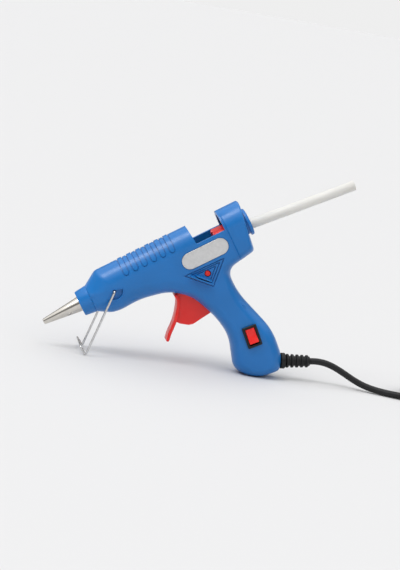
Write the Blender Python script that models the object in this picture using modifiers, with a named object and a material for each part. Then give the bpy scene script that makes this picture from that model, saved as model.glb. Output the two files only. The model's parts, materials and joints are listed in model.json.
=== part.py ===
"""A small hot-glue gun that stands on its wire stand, as an assembly of its real pieces.

Gun frame, in millimetres: x runs from the nozzle's tip to the rear along the feed axis, z is
square to it, and y = 0 is the joint between the two housing halves. The gun hangs on the empty
gun_frame, which tips it nose down until it stands on its stand and on the foot of its handle.
The cord outside the gun, its coil and its plug lie on the ground, in the world's frame.
"""

from math import cos, hypot, pi, radians, sin, tan

import bmesh
import bpy
from mathutils import Matrix, Vector

MM = 0.001
GAP = 0.3                      # clearance between neighbours
TILT = radians(35.2)           # nose-down angle of the gun on its stand
WALL = 2.5                     # housing wall
HALF_WIDTH = 13.3              # housing, from the parting plane to its flat side
RING_HALF_WIDTH = 14.3         # rear ring block
GRIP_HALF_WIDTH = 12.0         # handle

STICK_RADIUS = 3.6
STICK_LENGTH = 101.6
STICK_FRONT = (134.5, -0.1)    # x, z of the front end's centre
STICK_SLOPE = radians(5.8)     # the rear end rests lower in the guide

TRIGGER_PIVOT = (115.8, -17.6)
TRIGGER_PULL = radians(28.0)
CRANK_HEIGHT = 14.0            # drive pins above the pivot
CRANK_PIN = (TRIGGER_PIVOT[0] + CRANK_HEIGHT * tan(TRIGGER_PULL / 2), TRIGGER_PIVOT[1] + CRANK_HEIGHT)
LINK_LENGTH = 15.0
CARRIAGE_PIN = (CRANK_PIN[0] + LINK_LENGTH, CRANK_PIN[1])

STAND_PIVOT = (53.0, 0.0)
STAND_ELBOW = (15.9, -30.6)
STAND_CORNER = (15.6, -23.6)
STAND_HALF_WIDTH = 14.8
STAND_WIRE = 0.8               # radius

SWITCH_CENTRE = (124.9, -71.9)
SWITCH_LEAN = radians(6.0)

RELIEF_ROOT = (135.6, -100.1)  # where the cord leaves the handle
RELIEF_SLOPE = radians(28.6)
RELIEF_OUTSIDE = 22.0
RELIEF_INSIDE = 6.0
CLAMP_AT = -12.0
CORD_RADIUS = 2.3

# Screw x, z and the y of the surface its head sits in.
HOUSING_SCREWS = [(62.0, -9.4, 11.6), (104.5, 8.9, 12.0), (146.5, -13.8, 14.2),
                  (127.5, -51.0, 12.3), (113.0, -89.5, 12.0)]

# Corners of the body's side view. Each row gives the corner on the parting plane and how far its
# round stretch cuts back, then the same for the matching corner of the flat side face.
BODY_CORNERS = [
    (30.5, 6.0, 2.5, 50.5, 2.0, 0.5),
    (46.6, 16.5, 2.0, 53.5, 3.2, 0.8),
    (156.7, 16.8, 2.0, 153.2, 3.4, 0.6),
    (152.6, -19.9, 2.5, 149.8, -12.5, 2.0),
    (129.9, -23.6, 8.0, 124.5, -18.5, 5.0),
    (129.9, -42.0, 9.0, 122.3, -42.0, 7.0),
    (140.6, -77.0, 9.0, 131.8, -77.0, 7.0),
    (138.9, -96.0, 4.0, 131.0, -92.5, 3.0),
    (133.4, -105.9, 3.0, 127.5, -98.3, 3.0),
    (119.5, -104.3, 5.0, 119.3, -97.2, 3.0),
    (110.0, -98.5, 4.0, 114.3, -93.0, 3.0),
    (104.4, -89.5, 4.5, 112.0, -86.0, 3.0),
    (111.6, -66.0, 9.0, 118.4, -66.0, 7.0),
    (107.4, -48.0, 8.0, 114.4, -46.0, 6.0),
    (99.5, -29.7, 7.0, 107.0, -23.5, 6.0),
    (86.5, -19.4, 7.0, 92.0, -9.5, 6.0),
    (66.0, -15.2, 8.0, 68.0, -3.0, 4.0),
    (52.0, -16.3, 3.5, 56.5, -2.9, 1.0),
    (44.9, -15.0, 2.0, 53.0, -2.7, 0.6),
    (30.5, -6.2, 2.5, 50.5, -1.6, 0.5),
]

COLOURS = {
    "blue_plastic": ((0.024, 0.165, 0.479), 0.38, 0.0),
    "red_plastic": ((0.730, 0.030, 0.025), 0.36, 0.0),
    "black_plastic": ((0.018, 0.018, 0.020), 0.50, 0.0),
    "polished_steel": ((0.620, 0.600, 0.560), 0.16, 1.0),
    "chromed_wire": ((0.560, 0.560, 0.550), 0.18, 1.0),
    "zinc_steel": ((0.500, 0.510, 0.520), 0.34, 1.0),
    "cast_aluminium": ((0.580, 0.580, 0.590), 0.48, 1.0),
    "brass": ((0.720, 0.520, 0.200), 0.32, 1.0),
    "ceramic": ((0.800, 0.780, 0.730), 0.70, 0.0),
    "silicone": ((0.600, 0.110, 0.070), 0.60, 0.0),
    "glue": ((0.730, 0.720, 0.680), 0.42, 0.0),
    "label_silver": ((0.610, 0.610, 0.610), 0.34, 0.3),
    "cord_black": ((0.013, 0.013, 0.014), 0.46, 0.0),
    "lead_white": ((0.780, 0.770, 0.740), 0.55, 0.0),
    "tie_black": ((0.020, 0.020, 0.022), 0.55, 0.0),
}


# ---------------------------------------------------------------- scene helpers

def clear_scene():
    for obj in list(bpy.data.objects):
        bpy.data.objects.remove(obj, do_unlink=True)


def new_collection(name):
    collection = bpy.data.collections.new(name)
    bpy.context.scene.collection.children.link(collection)
    return collection


def make_material(name):
    colour, roughness, metallic = COLOURS[name]
    material = bpy.data.materials.new(name)
    material.use_nodes = True
    shader = material.node_tree.nodes["Principled BSDF"]
    shader.inputs["Base Color"].default_value = (*colour, 1.0)
    shader.inputs["Roughness"].default_value = roughness
    shader.inputs["Metallic"].default_value = metallic
    material.diffuse_color = (*colour, 1.0)
    return material


def empty_at(name, x, z, parent):
    """An empty on a joint's axis, at x, z of the gun frame."""
    empty = bpy.data.objects.new(name, None)
    empty.empty_display_size = 0.01
    PARTS.objects.link(empty)
    empty.parent = parent
    empty.location = (x * MM, 0.0, z * MM)
    return empty


def evaluated_mesh(obj):
    """The object's mesh with its modifiers or its curve worked out, welded."""
    bpy.context.view_layer.update()
    graph = bpy.context.evaluated_depsgraph_get()
    mesh = bpy.data.meshes.new_from_object(obj.evaluated_get(graph))
    bm = bmesh.new()
    bm.from_mesh(mesh)
    bmesh.ops.remove_doubles(bm, verts=bm.verts, dist=1e-6)
    bm.to_mesh(mesh)
    bm.free()
    return mesh


def merge_flat_faces(mesh):
    """Joins the triangles of each flat face into one polygon."""
    bm = bmesh.new()
    bm.from_mesh(mesh)
    bmesh.ops.dissolve_limit(bm, angle_limit=radians(0.05), verts=bm.verts, edges=bm.edges)
    bm.to_mesh(mesh)
    bm.free()


def place(name, mesh, collection, smooth_angle=35.0):
    """A new object that holds mesh, whose coordinates are the gun frame's, in metres."""
    mesh.name = name
    mesh.shade_smooth()
    mesh.set_sharp_from_angle(angle=radians(smooth_angle))
    obj = bpy.data.objects.new(name, mesh)
    collection.objects.link(obj)
    return obj


def part(name, mesh, material, holder=None):
    """A sub-part under holder, an empty: the mesh moves so that its origin is the holder's."""
    holder = holder or GUN
    if holder is not GUN:
        mesh.transform(Matrix.Translation(-holder.location))
    obj = place(name, mesh, PARTS)
    obj.parent = holder
    mesh.materials.clear()
    mesh.materials.append(MATERIALS[material])
    return obj


def cutter(name, mesh):
    obj = place(name, mesh, CUTTERS)
    obj.display_type = "WIRE"
    obj.hide_render = True
    return obj


def boolean(mesh, operation, tools):
    """The mesh after one Boolean per tool mesh; the tools stay as wire cutters."""
    for tool in tools:
        body = place("boolean_body", mesh, CUTTERS)
        modifier = body.modifiers.new(operation.lower(), "BOOLEAN")
        modifier.operation = operation
        modifier.object = cutter("tool_" + operation.lower(), tool)
        mesh = evaluated_mesh(body)
        bpy.data.objects.remove(body, do_unlink=True)
    return mesh


def cut(mesh, *tools):
    return boolean(mesh, "DIFFERENCE", tools)


def fuse(mesh, *tools):
    return boolean(mesh, "UNION", tools)


# ---------------------------------------------------------------- shapes, in gun-frame millimetres

def block(x0, x1, y0, y1, z0, z1):
    bm = bmesh.new()
    bmesh.ops.create_cube(bm, size=1.0)
    size = Vector((x1 - x0, y1 - y0, z1 - z0)) * MM
    centre = Vector((x0 + x1, y0 + y1, z0 + z1)) * (MM / 2)
    bmesh.ops.transform(bm, matrix=Matrix.Translation(centre) @ Matrix.Diagonal((*size, 1.0)), verts=bm.verts)
    return finished(bm)


def finished(bm):
    mesh = bpy.data.meshes.new("shape")
    bmesh.ops.recalc_face_normals(bm, faces=bm.faces)
    bm.to_mesh(mesh)
    bm.free()
    return mesh


def rotated(mesh, centre, angle):
    """Turns the mesh about the line y through centre (x, z); positive is from +x towards +z."""
    pivot = Vector((centre[0] * MM, 0.0, centre[1] * MM))
    turn = Matrix.Rotation(-angle, 4, "Y")
    mesh.transform(Matrix.Translation(pivot) @ turn @ Matrix.Translation(-pivot))
    return mesh


def bevelled(mesh, width, segments=2):
    obj = place("bevel_body", mesh, CUTTERS)
    modifier = obj.modifiers.new("bevel", "BEVEL")
    modifier.width = width * MM
    modifier.segments = segments
    modifier.limit_method = "ANGLE"
    result = evaluated_mesh(obj)
    bpy.data.objects.remove(obj, do_unlink=True)
    return result


def turned(profile, start, direction, steps=24, closed=False):
    """A solid of revolution. Profile rows are (radius, distance along direction from start)."""
    bm = bmesh.new()
    verts = [bm.verts.new((r * MM, 0.0, s * MM)) for r, s in profile]
    pairs = list(zip(verts, verts[1:]))
    if closed:
        pairs.append((verts[-1], verts[0]))
    for a, b in pairs:
        bm.edges.new((a, b))
    mesh = bpy.data.meshes.new("profile")
    bm.to_mesh(mesh)
    bm.free()
    obj = bpy.data.objects.new("profile", mesh)
    CUTTERS.objects.link(obj)
    screw = obj.modifiers.new("screw", "SCREW")
    screw.steps = steps
    screw.render_steps = steps
    screw.use_merge_vertices = True
    screw.merge_threshold = 0.000001
    result = evaluated_mesh(obj)
    bpy.data.objects.remove(obj, do_unlink=True)
    axis = Vector(direction).normalized()
    result.transform(Matrix.Translation(Vector(start) * MM) @ axis.to_track_quat("Z", "Y").to_matrix().to_4x4())
    bm = bmesh.new()
    bm.from_mesh(result)
    bmesh.ops.recalc_face_normals(bm, faces=bm.faces)
    bm.to_mesh(result)
    bm.free()
    merge_flat_faces(result)
    return result


def rod(radius, start, end, steps=20):
    """A plain cylinder between two points."""
    length = (Vector(end) - Vector(start)).length
    return turned([(0.0, length), (radius, length), (radius, 0.0), (0.0, 0.0)],
                  start, Vector(end) - Vector(start), steps)


def sleeve(inner, outer, start, end, steps=28):
    """A plain tube wall between two points."""
    length = (Vector(end) - Vector(start)).length
    profile = [(outer, length), (outer, 0.0), (inner, 0.0), (inner, length)]
    return turned(profile, start, Vector(end) - Vector(start), steps, closed=True)


def prism(outline, low, high, axis="y"):
    """A flat outline made solid from low to high: rows (x, z) along y, or rows (y, z) along x."""
    curve = bpy.data.curves.new("outline", "CURVE")
    curve.dimensions = "2D"
    curve.fill_mode = "BOTH"
    curve.extrude = abs(high - low) / 2 * MM
    spline = curve.splines.new("POLY")
    spline.points.add(len(outline) - 1)
    spline.use_cyclic_u = True
    for point, (u, v) in zip(spline.points, outline):
        point.co = (u * MM, v * MM, 0.0, 1.0)
    obj = bpy.data.objects.new("outline", curve)
    CUTTERS.objects.link(obj)
    mesh = evaluated_mesh(obj)
    bpy.data.objects.remove(obj, do_unlink=True)
    merge_flat_faces(mesh)
    middle = (low + high) / 2 * MM
    if axis == "y":
        upright = Matrix(((1, 0, 0, 0), (0, 0, -1, middle), (0, 1, 0, 0), (0, 0, 0, 1)))
    else:
        upright = Matrix(((0, 0, 1, middle), (1, 0, 0, 0), (0, 1, 0, 0), (0, 0, 0, 1)))
    mesh.transform(upright)
    return mesh


def arc(cx, cz, radius, start, end, steps):
    """Points on a circle, angles in degrees."""
    angles = [radians(start + (end - start) * i / steps) for i in range(steps + 1)]
    return [(cx + radius * cos(a), cz + radius * sin(a)) for a in angles]


def capsule(a, b, radius, steps=8):
    """Outline of a bar with round ends from a to b."""
    heading = Vector((b[0] - a[0], b[1] - a[1])).angle_signed(Vector((1.0, 0.0))) * 180 / pi
    return arc(*a, radius, heading + 90, heading + 270, steps) + arc(*b, radius, heading - 90, heading + 90, steps)


def smooth_path(points, spacing):
    """Evenly spaced points on a Catmull-Rom curve through the given points."""
    knots = [Vector(p) for p in points]
    ends = [knots[0] * 2 - knots[1]] + knots + [knots[-1] * 2 - knots[-2]]
    fine = []
    for p0, p1, p2, p3 in zip(ends, ends[1:], ends[2:], ends[3:]):
        for i in range(24):
            t = i / 24
            fine.append(0.5 * (2 * p1 + (p2 - p0) * t + (2 * p0 - 5 * p1 + 4 * p2 - p3) * t * t
                               + (3 * p1 - p0 - 3 * p2 + p3) * t ** 3))
    fine.append(knots[-1])
    total = sum((b - a).length for a, b in zip(fine, fine[1:]))
    count = max(2, round(total / spacing))
    step = total / count
    path = [fine[0]]
    travelled = 0.0
    for a, b in zip(fine, fine[1:]):
        length = (b - a).length
        while len(path) < count and travelled + length >= step * len(path):
            path.append(a.lerp(b, (step * len(path) - travelled) / length))
        travelled += length
    path.append(fine[-1])
    return path


def tube(points, radius, resolution=2):
    """A round wire through points, with filled ends, as a welded mesh."""
    curve = bpy.data.curves.new("wire", "CURVE")
    curve.dimensions = "3D"
    curve.bevel_depth = radius * MM
    curve.bevel_resolution = resolution
    curve.use_fill_caps = True
    spline = curve.splines.new("POLY")
    spline.points.add(len(points) - 1)
    for point, co in zip(spline.points, points):
        point.co = (*(Vector(co) * MM), 1.0)
    obj = bpy.data.objects.new("wire", curve)
    CUTTERS.objects.link(obj)
    mesh = evaluated_mesh(obj)
    bpy.data.objects.remove(obj, do_unlink=True)
    return mesh


def on_stick(distance):
    """A point on the glue stick's centre line, measured from its front end."""
    x = STICK_FRONT[0] + distance * cos(STICK_SLOPE)
    z = STICK_FRONT[1] - distance * sin(STICK_SLOPE)
    return (x, 0.0, z)


def on_relief(distance):
    """A point on the cord's line through the strain relief, measured from the handle's wall."""
    x = RELIEF_ROOT[0] + distance * cos(RELIEF_SLOPE)
    z = RELIEF_ROOT[1] - distance * sin(RELIEF_SLOPE)
    return (x, 0.0, z)


# ---------------------------------------------------------------- housing halves

def rounded_corners(corners, steps=2):
    """Each corner (x, z, cut-back) becomes a short parabola with steps + 1 points."""
    outline = []
    for i, (x, z, back) in enumerate(corners):
        here = Vector((x, z))
        before = Vector(corners[i - 1][:2])
        after = Vector(corners[(i + 1) % len(corners)][:2])
        start = here + (before - here).normalized() * back
        end = here + (after - here).normalized() * back
        for j in range(steps + 1):
            t = j / steps
            outline.append(start * (1 - t) ** 2 + here * (2 * t * (1 - t)) + end * t * t)
    return outline


def half_width(x, z):
    """The body's half width: wider at the rear ring block, narrower in the handle."""
    if z > -24.0:
        ramp = min(1.0, max(0.0, (x - 140.5) / 2.0))
        return HALF_WIDTH + (RING_HALF_WIDTH - HALF_WIDTH) * ramp
    ramp = min(1.0, (-24.0 - z) / 38.0)
    return HALF_WIDTH + (GRIP_HALF_WIDTH - HALF_WIDTH) * ramp


def inset_corners(corners, inset):
    """The same corners, (x, z, cut-back) going clockwise, moved inwards by inset."""
    moved = []
    for i, (x, z, back) in enumerate(corners):
        here = Vector((x, z))
        into = (here - Vector(corners[i - 1][:2])).normalized()
        out = (Vector(corners[(i + 1) % len(corners)][:2]) - here).normalized()
        first = Vector((into.y, -into.x))
        second = Vector((out.y, -out.x))
        shift = (first + second) * (inset / (1 + first.dot(second)))
        moved.append((x + shift.x, z + shift.y, back))
    return moved


def body_solid(side, rim, thinner=0.0, rim_inset=0.0, flat_inset=0.0):
    """Half of the body as one solid, from y = rim to its flat side, or the hollow inside it."""
    outer = rounded_corners(inset_corners([row[:3] for row in BODY_CORNERS], rim_inset))
    inner = rounded_corners(inset_corners([row[3:] for row in BODY_CORNERS], flat_inset))
    bm = bmesh.new()
    rings = []
    for angle in (0.0, 24.0, 47.0, 69.0, 90.0):
        blend = 1 - cos(radians(angle))
        ring = [a.lerp(b, blend) for a, b in zip(outer, inner)]
        rings.append([bm.verts.new((p.x, sin(radians(angle)), p.y)) for p in ring])
    for low, high in zip(rings, rings[1:]):
        for i in range(len(low)):
            j = (i + 1) % len(low)
            bm.faces.new((low[i], low[j], high[j], high[i]))
    bm.faces.new(rings[-1])
    bm.faces.new(rings[0])
    for across_at, normal in (((140.5, 0, 0), (1, 0, 0)), ((142.5, 0, 0), (1, 0, 0)),
                              ((0, 0, -24.0), (0, 0, 1)), ((0, 0, -62.0), (0, 0, 1))):
        geometry = bm.verts[:] + bm.edges[:] + bm.faces[:]
        bmesh.ops.bisect_plane(bm, geom=geometry, plane_co=across_at, plane_no=normal)
    for vert in bm.verts:
        x, share, z = vert.co
        y = rim + (half_width(x, z) - thinner - rim) * share
        vert.co = Vector((x, side * y, z)) * MM
    bmesh.ops.triangulate(bm, faces=[f for f in bm.faces if len(f.verts) > 4])
    return finished(bm)


def body_shell(side):
    hollow = body_solid(side, -1.0, thinner=WALL, rim_inset=WALL, flat_inset=0.3)
    return cut(body_solid(side, GAP / 2), hollow)


def rib(side, x0, x1, floor, hole):
    """A wall across the barrel with a round hole at the axis; its edges are buried in the shell."""
    reach = 12.1
    crown = 3.3
    outline = [(GAP / 2, floor), (reach, floor)]
    outline += arc(0.0, crown, reach, 0, 89, 9)
    outline += [(GAP / 2, crown + reach)]
    plate = prism([(y * side, z) for y, z in outline], x0, x1, axis="x")
    return cut(plate, rod(hole, (x0 - 2, 0, 0), (x1 + 2, 0, 0), 28))


def cradle(side, x0, x1, floor, hole):
    """A wall under the axis that carries a round piece; its edges are buried in the shell."""
    plate = block(x0, x1, *across(side, GAP / 2, 11.6), floor, -0.6)
    return cut(plate, rod(hole, (x0 - 2, 0, 0), (x1 + 2, 0, 0), 28))


def across(side, near, far):
    """The y range from near to far on one side of the parting plane."""
    return (near, far) if side > 0 else (-far, -near)


def switch_block(length, width, near, far):
    """A block square to the leaning switch, length along it, from y = near to y = far."""
    x, z = SWITCH_CENTRE
    mesh = block(x - width / 2, x + width / 2, near, far, z - length / 2, z + length / 2)
    return rotated(mesh, SWITCH_CENTRE, -SWITCH_LEAN)


def ground_level():
    """How far the ground lies from the nozzle tip, square to the ground: the stand's elbows set it."""
    return min(p.x * sin(TILT) + p.z * cos(TILT) for p in stand_path()) - STAND_WIRE


def foot_cut():
    """The space under the ground that the gun stands on, in the gun frame."""
    slab = block(60, 180, -30, 30, -40, ground_level())
    slab.transform(Matrix.Rotation(TILT, 4, "Y"))
    return slab


def shared_openings():
    """Cuts that both halves share."""
    slot = [(117.6, 4.2), (139.3, 4.2), (139.3, 22.0), (115.6, 22.0), (116.6, 15.0)]
    slit = [(88.5, -10.0), (84.5, -26.0), (98.0, -60.0), (116.5, -56.0), (116.5, -10.0)]
    spotface = [(0, 12), (10.2, 12), (10.2, 0), (8.6, 0), (8.6, -9), (0, -9)]
    fan = [(STAND_PIVOT[0] - 1.0, STAND_PIVOT[1] + 1.2)] + arc(*STAND_PIVOT, 5.8, -143, -8, 10)
    tools = [
        block(20, 36.6, -20, 20, -20, 20),
        prism(slot, -20, 20),
        prism(slit, -3.1, 3.1),
        turned(spotface, (155.5, 0, 0), (1, 0, 0), 32),
        rod(6.7, (30, 0, 0), (45, 0, 0), 24),
        through(TRIGGER_PIVOT, 2.35, 16),
        through(STAND_PIVOT, 1.15, 12),
        rod(3.9, on_relief(-14), on_relief(14), 24),
        foot_cut(),
    ]
    return tools + [prism(fan, *across(side, 12.1, 20.0)) for side in (-1, 1)]


def through(centre, radius, steps):
    """A drill right across the gun at x, z."""
    return rod(radius, (centre[0], -20, centre[1]), (centre[0], 20, centre[1]), steps)


def housing(side):
    additions = [
        rib(side, 114.4, 116.4, 1.6, 4.9),
        rib(side, 97.2, 99.0, -7.0, 6.95),
        cradle(side, 70.2, 71.8, -12.5, 6.3),
        block(117.0, 150.6, *across(side, 8.4, 12.1), -9.9, -8.1),
    ]
    for x, z, surface in HOUSING_SCREWS:
        near, far = across(side, GAP / 2, surface - 1.3)
        additions.append(rod(2.3, (x, near, z), (x, far, z), 16))
    if side < 0:
        additions += [rod(1.7, (x, -10.6, z), (x, 2.4, z), 12) for x, z in CLAMP_POSTS]
    mesh = fuse(body_shell(side), *additions)
    tools = shared_openings() + (screw_holes() if side > 0 else near_side_openings())
    return cut(mesh, *tools)


def screw_holes():
    """Clearance holes and head seats in the far half."""
    tools = []
    for x, z, surface in HOUSING_SCREWS:
        tools.append(rod(1.6, (x, -1, z), (x, surface + 5, z), 14))
        tools.append(rod(2.9, (x, surface - 1.6, z), (x, surface + 8, z), 20))
    return tools


def near_side_openings():
    """The near half's switch opening, label seat and blind screw holes."""
    tools = [
        switch_block(14.3, 9.3, -20, -6),
        prism(capsule((108.7, -4.3), (131.5, -4.3), 6.1, 10), -20, -12.6),
    ]
    tools += [rod(1.35, (x, 1, z), (x, 3.0 - surface, z), 12) for x, z, surface in HOUSING_SCREWS]
    tools += [rod(1.0, (x, -6.0, z), (x, 4.0, z), 10) for x, z in CLAMP_POSTS]
    return tools


# ---------------------------------------------------------------- nose and heater

def nose_ring():
    profile = [(5.6, 27.8), (9.0, 27.8), (9.9, 36.3), (7.3, 36.3), (7.3, 30.2), (5.6, 30.2)]
    return turned(profile[::-1], (0, 0, 0), (1, 0, 0), 36, closed=True)


def nozzle():
    outside = [(1.8, 0.0), (2.0, 0.6), (5.2, 27.2), (5.2, 32.6), (3.5, 32.6), (3.5, 39.0)]
    bore = [(2.6, 39.0), (2.6, 30.0), (0.9, 6.0), (0.9, 0.0)]
    return turned(outside + bore, (0, 0, 0), (1, 0, 0), 32, closed=True)


def melt_chamber():
    outside = [(6.0, 33.0), (6.0, 74.0), (4.9, 74.0), (4.9, 81.0)]
    bore = [(3.9, 81.0), (3.9, 33.0)]
    tube_part = turned(outside + bore, (0, 0, 0), (1, 0, 0), 28, closed=True)
    heater_seat = bevelled(block(46.0, 66.0, -4.9, 4.9, 4.6, 9.6), 0.8)
    body = fuse(tube_part, heater_seat)
    return cut(body, block(48.0, 70.0, -3.7, 3.7, 6.2, 8.6))


def heater_stack():
    part("electrode_neutral", block(48.6, 68.0, -3.0, 3.0, 6.5, 6.8), "brass")
    part("ptc_heater", block(48.6, 65.0, -3.2, 3.2, 7.1, 7.7), "ceramic")
    part("electrode_live", block(48.6, 68.0, -3.0, 3.0, 8.0, 8.3), "brass")


def inlet_sleeve():
    outside = [(6.5, 74.4), (6.5, 99.8)]
    bore = [(4.3, 99.8), (3.95, 97.0), (3.95, 81.4), (5.2, 81.4), (5.2, 74.4)]
    return turned(outside + bore, (0, 0, 0), (1, 0, 0), 28, closed=True)


def sleeve_clamp():
    profile = [(6.8, 76.0), (7.5, 76.0), (7.5, 79.5), (6.8, 79.5)]
    return turned(profile, (0, 0, 0), (1, 0, 0), 28, closed=True)


# ---------------------------------------------------------------- feed

def stick_guide():
    profile = [(7.2, 159.0), (9.2, 159.0), (9.7, 158.5), (9.7, 155.8), (8.3, 155.8), (8.3, 149.6),
               (7.2, 149.6)]
    return turned(profile, (0, 0, 0), (1, 0, 0), 36, closed=True)


def glue_stick():
    length = STICK_LENGTH
    radius = STICK_RADIUS
    profile = [(0, length), (radius - 0.3, length), (radius, length - 0.3), (radius, 0.3), (radius - 0.3, 0), (0, 0)]
    heading = Vector(on_stick(1)) - Vector(on_stick(0))
    return turned(profile, on_stick(0), heading, 24)


def feed_carriage():
    body = bevelled(block(131.0, 148.0, -9.75, 9.75, -7.8, 4.5), 1.6, 3)
    heading_start = on_stick(-8)
    heading_end = on_stick(20)
    tools = [rod(STICK_RADIUS + 0.6, heading_start, heading_end, 24)]
    for side in (-1, 1):
        tools.append(block(125.0, 140.0, *across(side, 6.2, 12.0), -12.0, 0.1))
    body = cut(body, *tools)
    pins = []
    for side in (-1, 1):
        near, far = across(side, 5.6, 8.2)
        pins.append(rod(1.4, (CARRIAGE_PIN[0], near, CARRIAGE_PIN[1]), (CARRIAGE_PIN[0], far, CARRIAGE_PIN[1]), 14))
    return fuse(body, *pins)


def feed_link():
    """A yoke: one arm each side of the stick, joined by a bar under it."""
    arms = []
    for side in (-1, 1):
        arm = prism(capsule(CRANK_PIN, CARRIAGE_PIN, 2.6, 8), *across(side, 6.5, 8.2))
        arms.append(arm)
    middle = CRANK_PIN[0] + LINK_LENGTH / 2
    body = fuse(block(middle - 1.8, middle + 1.8, -7.3, 7.3, -7.8, -5.4), *arms)
    slot = prism(capsule((CARRIAGE_PIN[0], CARRIAGE_PIN[1] - 0.6), (CARRIAGE_PIN[0], CARRIAGE_PIN[1] + 0.6), 1.75, 6),
                 -12, 12)
    return cut(body, through(CRANK_PIN, 1.7, 16), slot)


# ---------------------------------------------------------------- trigger

PAD_FRONT = [(88.4, -23.4), (89.0, -25.2), (88.4, -28.3), (86.2, -32.0), (83.6, -35.7), (80.6, -39.2),
             (77.0, -42.5), (73.6, -45.5), (70.4, -48.9)]


def pad_outline():
    """The finger pad from the side: a curved strip with a rounded lower end."""
    front = [Vector(p) for p in PAD_FRONT]
    back = []
    for i, point in enumerate(front):
        along = front[min(i + 1, len(front) - 1)] - front[max(i - 1, 0)]
        normal = Vector((-along.y, along.x)).normalized()
        back.append(point + normal * 2.3)
    tip = (front[-1] + back[-1]) / 2 + (front[-1] - front[-2]).normalized() * 1.1
    return [tuple(p) for p in front + [tip] + back[::-1]]


def trigger():
    px, pz = TRIGGER_PIVOT
    plate = [(92.2, -19.2), (101.0, -16.4), (px - 2.0, pz + 3.7), (px + 2.6, pz + 3.1), (px + 4.1, pz),
             (118.0, -29.0), (112.5, -39.0), (106.4, -46.2), (100.0, -47.0), (92.2, -48.0), (89.2, -47.3),
             (84.0, -43.6), (81.4, -40.4), (84.6, -36.5), (87.3, -32.6), (89.4, -28.6), (90.4, -24.2)]
    body = prism(plate, -2.5, 2.5)
    pad = bevelled(prism(pad_outline(), -5.6, 5.6), 0.7)
    hub = rod(4.6, (px, -5.8, pz), (px, 5.8, pz), 20)
    bosses = rod(2.0, (px, -12.9, pz), (px, 12.9, pz), 16)
    arms = [prism(capsule(TRIGGER_PIVOT, CRANK_PIN, 2.5, 8), *across(side, 4.3, 6.1)) for side in (-1, 1)]
    pins = []
    for side in (-1, 1):
        near, far = across(side, 5.0, 8.2)
        pins.append(rod(1.4, (CRANK_PIN[0], near, CRANK_PIN[1]), (CRANK_PIN[0], far, CRANK_PIN[1]), 14))
    return fuse(body, pad, hub, bosses, *arms, *pins)


def return_spring():
    """A torsion spring round the trigger's near boss: one leg up the trigger, one down the housing."""
    px, pz = TRIGGER_PIVOT
    per_turn = 12
    steps = 39                 # three turns and a quarter
    radius = 3.2
    points = [(px - radius, -9.2, pz - 9.0)]
    for i in range(steps + 1):
        angle = pi - 2 * pi * i / per_turn
        y = -9.2 + 2.4 * i / steps
        points.append((px + radius * cos(angle), y, pz + radius * sin(angle)))
    points.append((px + 7.0, -6.8, pz + radius))
    return tube(points, 0.4, 1)


# ---------------------------------------------------------------- stand, label and switch

def bent(corners, back, steps=3):
    """A 3-D path whose inner corners are rounded off."""
    path = [Vector(corners[0])]
    for before, here, after in zip(corners, corners[1:], corners[2:]):
        before, here, after = Vector(before), Vector(here), Vector(after)
        start = here + (before - here).normalized() * back
        end = here + (after - here).normalized() * back
        for i in range(steps + 1):
            t = i / steps
            path.append(start * (1 - t) ** 2 + here * (2 * t * (1 - t)) + end * t * t)
    path.append(Vector(corners[-1]))
    return path


def stand_path():
    half = [(STAND_PIVOT, 9.9), (STAND_PIVOT, STAND_HALF_WIDTH), (STAND_ELBOW, STAND_HALF_WIDTH),
            (STAND_CORNER, STAND_HALF_WIDTH)]
    near = [(x, -y, z) for (x, z), y in half]
    far = [(x, y, z) for (x, z), y in half]
    return bent(near + far[::-1], 1.6)


def stand():
    return tube(stand_path(), STAND_WIRE, 2)


def label_plate():
    plate = prism(capsule((108.7, -4.3), (131.5, -4.3), 5.8, 12), -13.5, -12.9)
    return bevelled(plate, 0.2, 1)


def switch_bezel():
    flange = bevelled(switch_block(15.5, 10.5, -13.9, -12.5), 0.5)
    body = switch_block(13.7, 8.7, -13.0, -1.0)
    tools = [switch_block(12.3, 7.3, -20, -4.0)]
    return cut(fuse(flange, body), *tools)


def switch_rocker():
    """A shallow V seen from the side, tipped to its resting side."""
    x, z = SWITCH_CENTRE
    outline = [(-5.4, -14.6), (0.0, -13.6), (5.4, -14.6), (5.0, -9.6), (0.0, -8.0), (-5.0, -9.6)]
    mesh = prism([(y, s) for s, y in outline], -3.3, 3.3, axis="x")
    mesh.transform(Matrix.Translation(Vector((x, 0, z)) * MM))
    mesh = bevelled(mesh, 0.4)
    hinge = Vector((0, ROCKER_PIN_Y, z)) * MM
    tip = Matrix.Rotation(-ROCKER_TIP, 4, "X")
    mesh.transform(Matrix.Translation(hinge) @ tip @ Matrix.Translation(-hinge))
    return rotated(mesh, SWITCH_CENTRE, -SWITCH_LEAN)


def switch_terminal(offset):
    x, z = SWITCH_CENTRE
    mesh = block(x - 2.4, x + 2.4, -0.7, 4.6, z + offset - 0.4, z + offset + 0.4)
    return rotated(mesh, SWITCH_CENTRE, -SWITCH_LEAN)


ROCKER_PIN_Y = -10.5
ROCKER_TIP = radians(9.0)


# ---------------------------------------------------------------- cord, leads and screws

def strain_relief():
    """A turned sleeve: a groove in the wall, a block outside it and ribs that taper to the cord."""
    profile = [(2.6, RELIEF_OUTSIDE), (3.4, RELIEF_OUTSIDE)]
    for i in range(5):
        start = 5.0 + 3.5 * (4 - i)
        rim = 4.9 - 0.12 * (4 - i)
        profile += [(3.5, start + 2.0), (rim, start + 1.7), (rim, start), (3.5, start - 0.3)]
    profile += [(3.6, 4.4), (5.6, 4.0), (5.6, 0.9), (3.5, 0.9)]
    profile += [(3.5, -RELIEF_INSIDE), (2.6, -RELIEF_INSIDE)]
    return turned(profile, on_relief(0), Vector(on_relief(1)) - Vector(on_relief(0)), 18, closed=True)


def cord_inner():
    return rod(CORD_RADIUS, on_relief(-15.0), on_relief(RELIEF_OUTSIDE), 16)


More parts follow.
